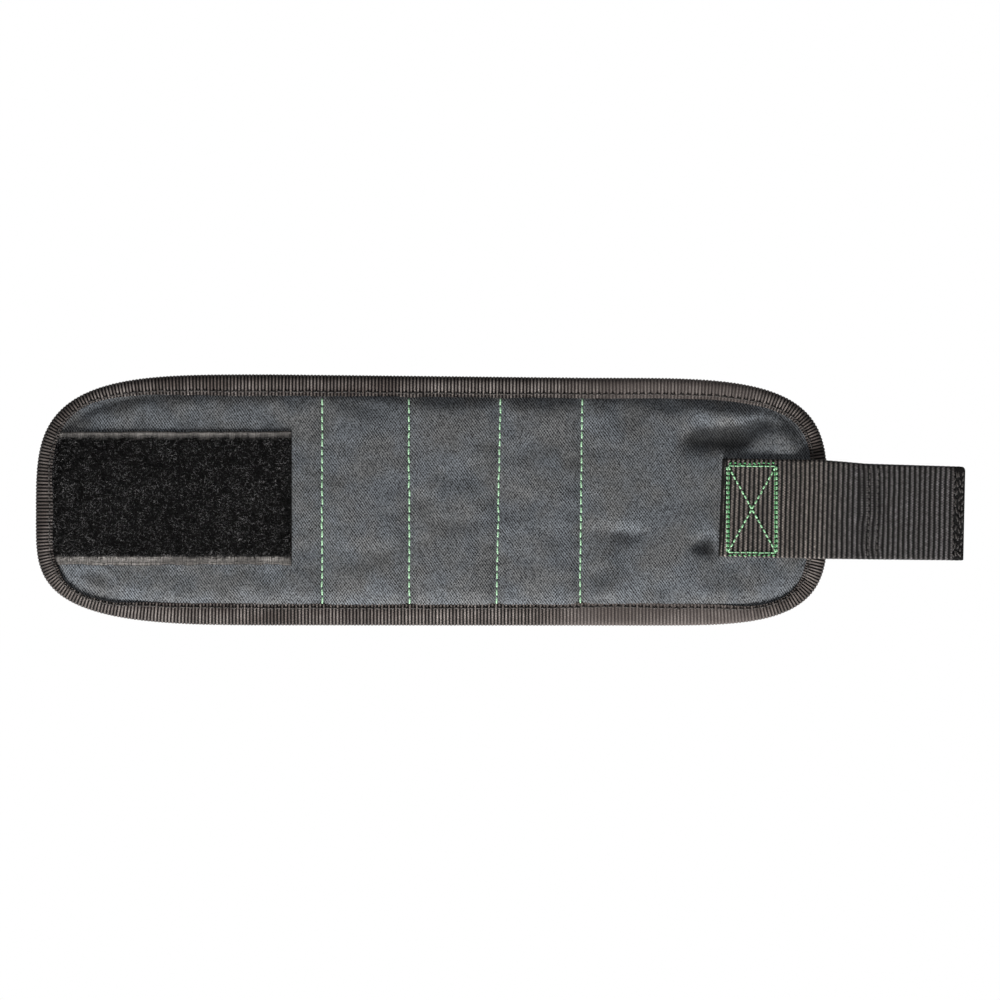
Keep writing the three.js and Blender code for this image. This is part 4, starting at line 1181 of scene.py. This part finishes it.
def make_strap_thread():
    def on_strap(points):
        points = np.asarray(points, float)
        u, v = strap_local(points[:, 0], points[:, 1])
        _, top, _ = strap_sample(u, v)
        # the thread lies on the ridges
        return np.column_stack([points, np.maximum(top, 5.72)])

    tl, tr, bl, br = (85.9, 12.9), (104.0, 12.7), (85.8, -19.7), (104.1, -19.9)
    rows, deep = [], []
    seed = 90
    for place, (a, b) in enumerate(((tl, bl), (tr, br))):
        for off, cover, radius, where in ((-0.30, 0.64, 0.30, rows), (0.42, 0.8, 0.24, deep)):
            off = off if place == 0 else -off
            line = resample([(a[0] + off, a[1]), (b[0] + off, b[1])], 0.4)
            where.append(stitches(on_strap(line), (0, 0, 1), 1.78, cover, radius, seed, lift=0.75))
            seed += 1
    for a, b in ((tl, tr), (bl, br)):
        rows.append(stitches(on_strap(resample([a, b], 0.4)), (0, 0, 1), 2.25, 0.94, 0.22, seed, lift=0.8, sink=0.2))
        shift = 1.0 if a is tl else -1.0
        line = resample([(a[0], a[1] + shift), (b[0], b[1] + shift)], 0.4)
        deep.append(stitches(on_strap(line), (0, 0, 1), 1.78, 0.5, 0.26, seed + 20, lift=0.4, sink=0.5, wander=0.25))
        seed += 1
    for a, b in ((tl, br), (tr, bl)):
        rows.append(stitches(on_strap(resample([a, b], 0.4)), (0, 0, 1), 2.1, 0.68, 0.33, seed, lift=0.75))
        seed += 1
    for name, part, look in (("box_stitches", rows, BOX), ("box_back_stitches", deep, DEEP)):
        v, f, uv, bow = joined(part)
        piece = build(name, v, f, uv, look, marks={"bow": bow})
        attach(piece, "right_end")

    # dark thread across the free end: where the hook tape starts, and the sewn tip
    rows = []
    for k, (u, radius) in enumerate(((55.6, 0.26), (58.9, 0.26))):
        near, far = strap_edges(np.array([u]))
        line = np.stack(strap_world(np.full(90, u), np.linspace(near[0] + 1.2, far[0] - 1.2, 90)), 1)
        rows.append(stitches(on_strap(line), (0, 0, 1), 2.4, 0.74, radius, 120 + k, rings=6, sides=6, twist=None))
    v, f, uv, bow = joined(rows)
    piece = build("hook_seam_stitches", v, f, uv, DARK, marks={"bow": bow})
    strap_bend(piece)

    rows = []
    near, far = strap_edges(np.array([88.0]))
    for k, (u, pitch) in enumerate(((87.5, 2.3), (88.6, 3.3), (89.7, 2.9), (90.7, 2.2))):
        v = np.linspace(near[0] + 0.9, far[0] - 1.5, 90)
        line = np.stack(strap_world(u + 0.35 * run_noise(v, 3.0, 135 + k), v), 1)
        rows.append(stitches(on_strap(line), (0, 0, 1), pitch, 0.7, 0.30, 133 + k, rings=6, sides=6, wander=0.3, twist=None))
    v, f, uv, bow = joined(rows)
    piece = build("strap_tip_stitches", v, f, uv, DARK, marks={"bow": bow})
    strap_bend(piece)


def make_hook_tape():
    us = np.concatenate([[54.6, 54.7, 54.9], np.arange(55.5, 90.3, 0.9), [90.4, 90.6, 90.7]])
    vs = np.concatenate([[-16.9, -16.8, -16.6], np.arange(-16, 16.1, 1.0), [16.6, 16.8, 16.9]])
    U, V = np.meshgrid(us, vs, indexing="ij")
    border = np.minimum(np.minimum(U - us[0], us[-1] - U), np.minimum(V - vs[0], vs[-1] - V))
    rounded = np.sqrt(np.clip(1 - (1 - np.clip(border / 0.25, 0, 1)) ** 2, 0.05, 1))
    bottom = 4.2 - 0.45 * rounded + 0.03 * np.sin(2 * np.pi * U / 1.35)
    x, y = strap_world(U, V)
    v, f, used = shell(np.stack([x, y], -1), np.full(U.shape, 4.24), bottom, np.ones(U.shape, bool))
    flat = np.concatenate([np.stack([U.ravel(), V.ravel()], 1)] * 2)[used] / 10
    parts = [(v, [f], flat, np.zeros(len(v)))]
    gu, gv = np.meshgrid(np.arange(55.8, 90.0, 1.25), np.arange(-15.9, 16.0, 1.18), indexing="ij")
    rng = np.random.default_rng(9)
    gu = gu.ravel() + rng.normal(0, 0.05, gu.size)
    gv = (gv + 0.3 * (np.arange(gv.shape[0]) % 2)[:, None]).ravel()
    row = np.repeat(np.arange(len(np.arange(55.8, 90.0, 1.25))), gv.size // len(np.arange(55.8, 90.0, 1.25)))
    way = np.where(row % 2 == 0, 1.0, -1.0)
    shape = np.array([(0, 3.85), (0, 3.52), (0.05, 3.32), (0.2, 3.19), (0.38, 3.20), (0.46, 3.33)])
    ax, ay = strap_world(1.0, 0.0)
    bx, by = strap_world(0.0, 0.0)
    ahead = np.array([ax - bx, ay - by, 0])
    hx, hy = strap_world(gu, gv)
    root = np.stack([hx, hy, np.zeros(len(hx))], 1)
    path = root[:, None, :] + (way[:, None] * shape[None, :, 0])[..., None] * ahead + np.array([0, 0, 1.0]) * shape[None, :, 1, None]
    sideways = np.cross(ahead, (0, 0, 1.0))
    thick = np.array([0.15, 0.13, 0.12, 0.11, 0.10, 0.06])[None, :]
    hv, hf, huv = tubes(path, np.broadcast_to(sideways, (len(hx), 3)), thick, thick, 5)
    parts.append((hv, hf, huv, np.ones(len(hv))))
    v, f, uv, _ = joined(parts)
    piece = build("hook_tape", v, f, uv, HOOKS, sharp=60)
    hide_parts("hook_tape_mid", "hook_tape_tip")
    strap_bend(piece)


# ---------------------------------------------------------------- channel seams
def make_seams():
    for k, (xs, lean) in enumerate(SEAMS):
        y = np.arange(SEAM_ENDS[0], SEAM_ENDS[1] + 0.01, 0.4)
        x = xs + lean * y + 0.10 * run_noise(y, 16, 140 + k)
        d = inside(x, y)
        rows = []
        top = base_face(x, y, d) + wrinkles(x, y, d)
        rows.append(stitches(np.column_stack([x, y, top + 0.10]), (0, 0, 1), 3.1, 0.88, 0.33, 150 + k, lift=0.8, sink=0.35, wander=0.09))
        bottom = lining_bottom(x, y, d)
        rows.append(stitches(np.column_stack([x, y, bottom - 0.05]), (0, 0, -1), 3.1, 0.74, 0.34, 160 + k, lift=0.7, sink=0.5, wander=0.07))
        v, f, uv, bow = joined(rows)
        piece = build(f"seam_stitches_{k + 1}", v, f, uv, GREEN, marks={"bow": bow})
        bend_at(piece)


make_face()
make_lining()
make_binding()
make_loop_tape()
make_strap()
make_strap_thread()
make_hook_tape()
make_seams()


# ---------------------------------------------------------------- floor, light and camera
def make_stage():
    scene = bpy.context.scene
    size, low = 8.0, -0.135        # low enough for the band to curl down
    mesh = bpy.data.meshes.new("floor")
    mesh.from_pydata([(-size, -size, low), (size, -size, low), (size, size, low), (-size, size, low)], [], [(0, 1, 2, 3)])
    floor = bpy.data.objects.new("floor", mesh)
    scene.collection.objects.link(floor)
    pale = bpy.data.materials.new("pale_floor")
    pale.use_nodes = True
    tree = pale.node_tree
    tree.nodes.clear()
    out = tree.nodes.new("ShaderNodeOutputMaterial")
    glow = tree.nodes.new("ShaderNodeEmission")
    glow.inputs["Color"].default_value = (1, 1, 1, 1)
    glow.inputs["Strength"].default_value = 1.0
    tree.links.new(glow.outputs[0], out.inputs[0])
    mesh.materials.append(pale)

    world = bpy.data.worlds.new("studio")
    scene.world = world
    world.use_nodes = True
    tree = world.node_tree
    tree.nodes.clear()
    out = tree.nodes.new("ShaderNodeOutputWorld")
    sky = tree.nodes.new("ShaderNodeBackground")
    place = tree.nodes.new("ShaderNodeTexCoord")
    split = tree.nodes.new("ShaderNodeSeparateXYZ")
    ramp = tree.nodes.new("ShaderNodeMapRange")
    tree.links.new(place.outputs["Generated"], split.inputs[0])
    tree.links.new(split.outputs[2], ramp.inputs[0])
    sky.inputs["Color"].default_value = (1, 1, 1, 1)
    for value, socket in zip((0.12, 0.17, 1.0, 0.12), list(ramp.inputs)[1:5]):
        socket.default_value = value
    tree.links.new(ramp.outputs[0], sky.inputs["Strength"])
    tree.links.new(sky.outputs[0], out.inputs[0])

    def lamp(name, place, power, size, colour):
        data = bpy.data.lights.new(name, "AREA")
        data.energy, data.size, data.color = power, size, colour
        made = bpy.data.objects.new(name, data)
        made.location = place
        made.rotation_mode = "QUATERNION"
        from mathutils import Vector
        made.rotation_quaternion = (-Vector(place)).to_track_quat("-Z", "Y")
        scene.collection.objects.link(made)

    lamp("key", (-0.14, -0.99, 0.48), 30.0, 0.30, (1.0, 0.99, 0.97))
    lamp("fill", (-0.5, 0.3, 1.25), 4.0, 0.9, (0.97, 0.98, 1.0))

    camera = bpy.data.cameras.new("camera")
    camera.lens, camera.sensor_width = 120.0, 36.0
    eye = bpy.data.objects.new("camera", camera)
    width = 1000 / 2.65 * MM
    eye.location = (0.0, 0.0, width * camera.lens / camera.sensor_width + 0.004)
    camera.clip_end = 50
    scene.collection.objects.link(eye)
    scene.camera = eye
    scene.view_settings.view_transform = "Standard"
    scene.view_settings.look = "None"


make_stage()
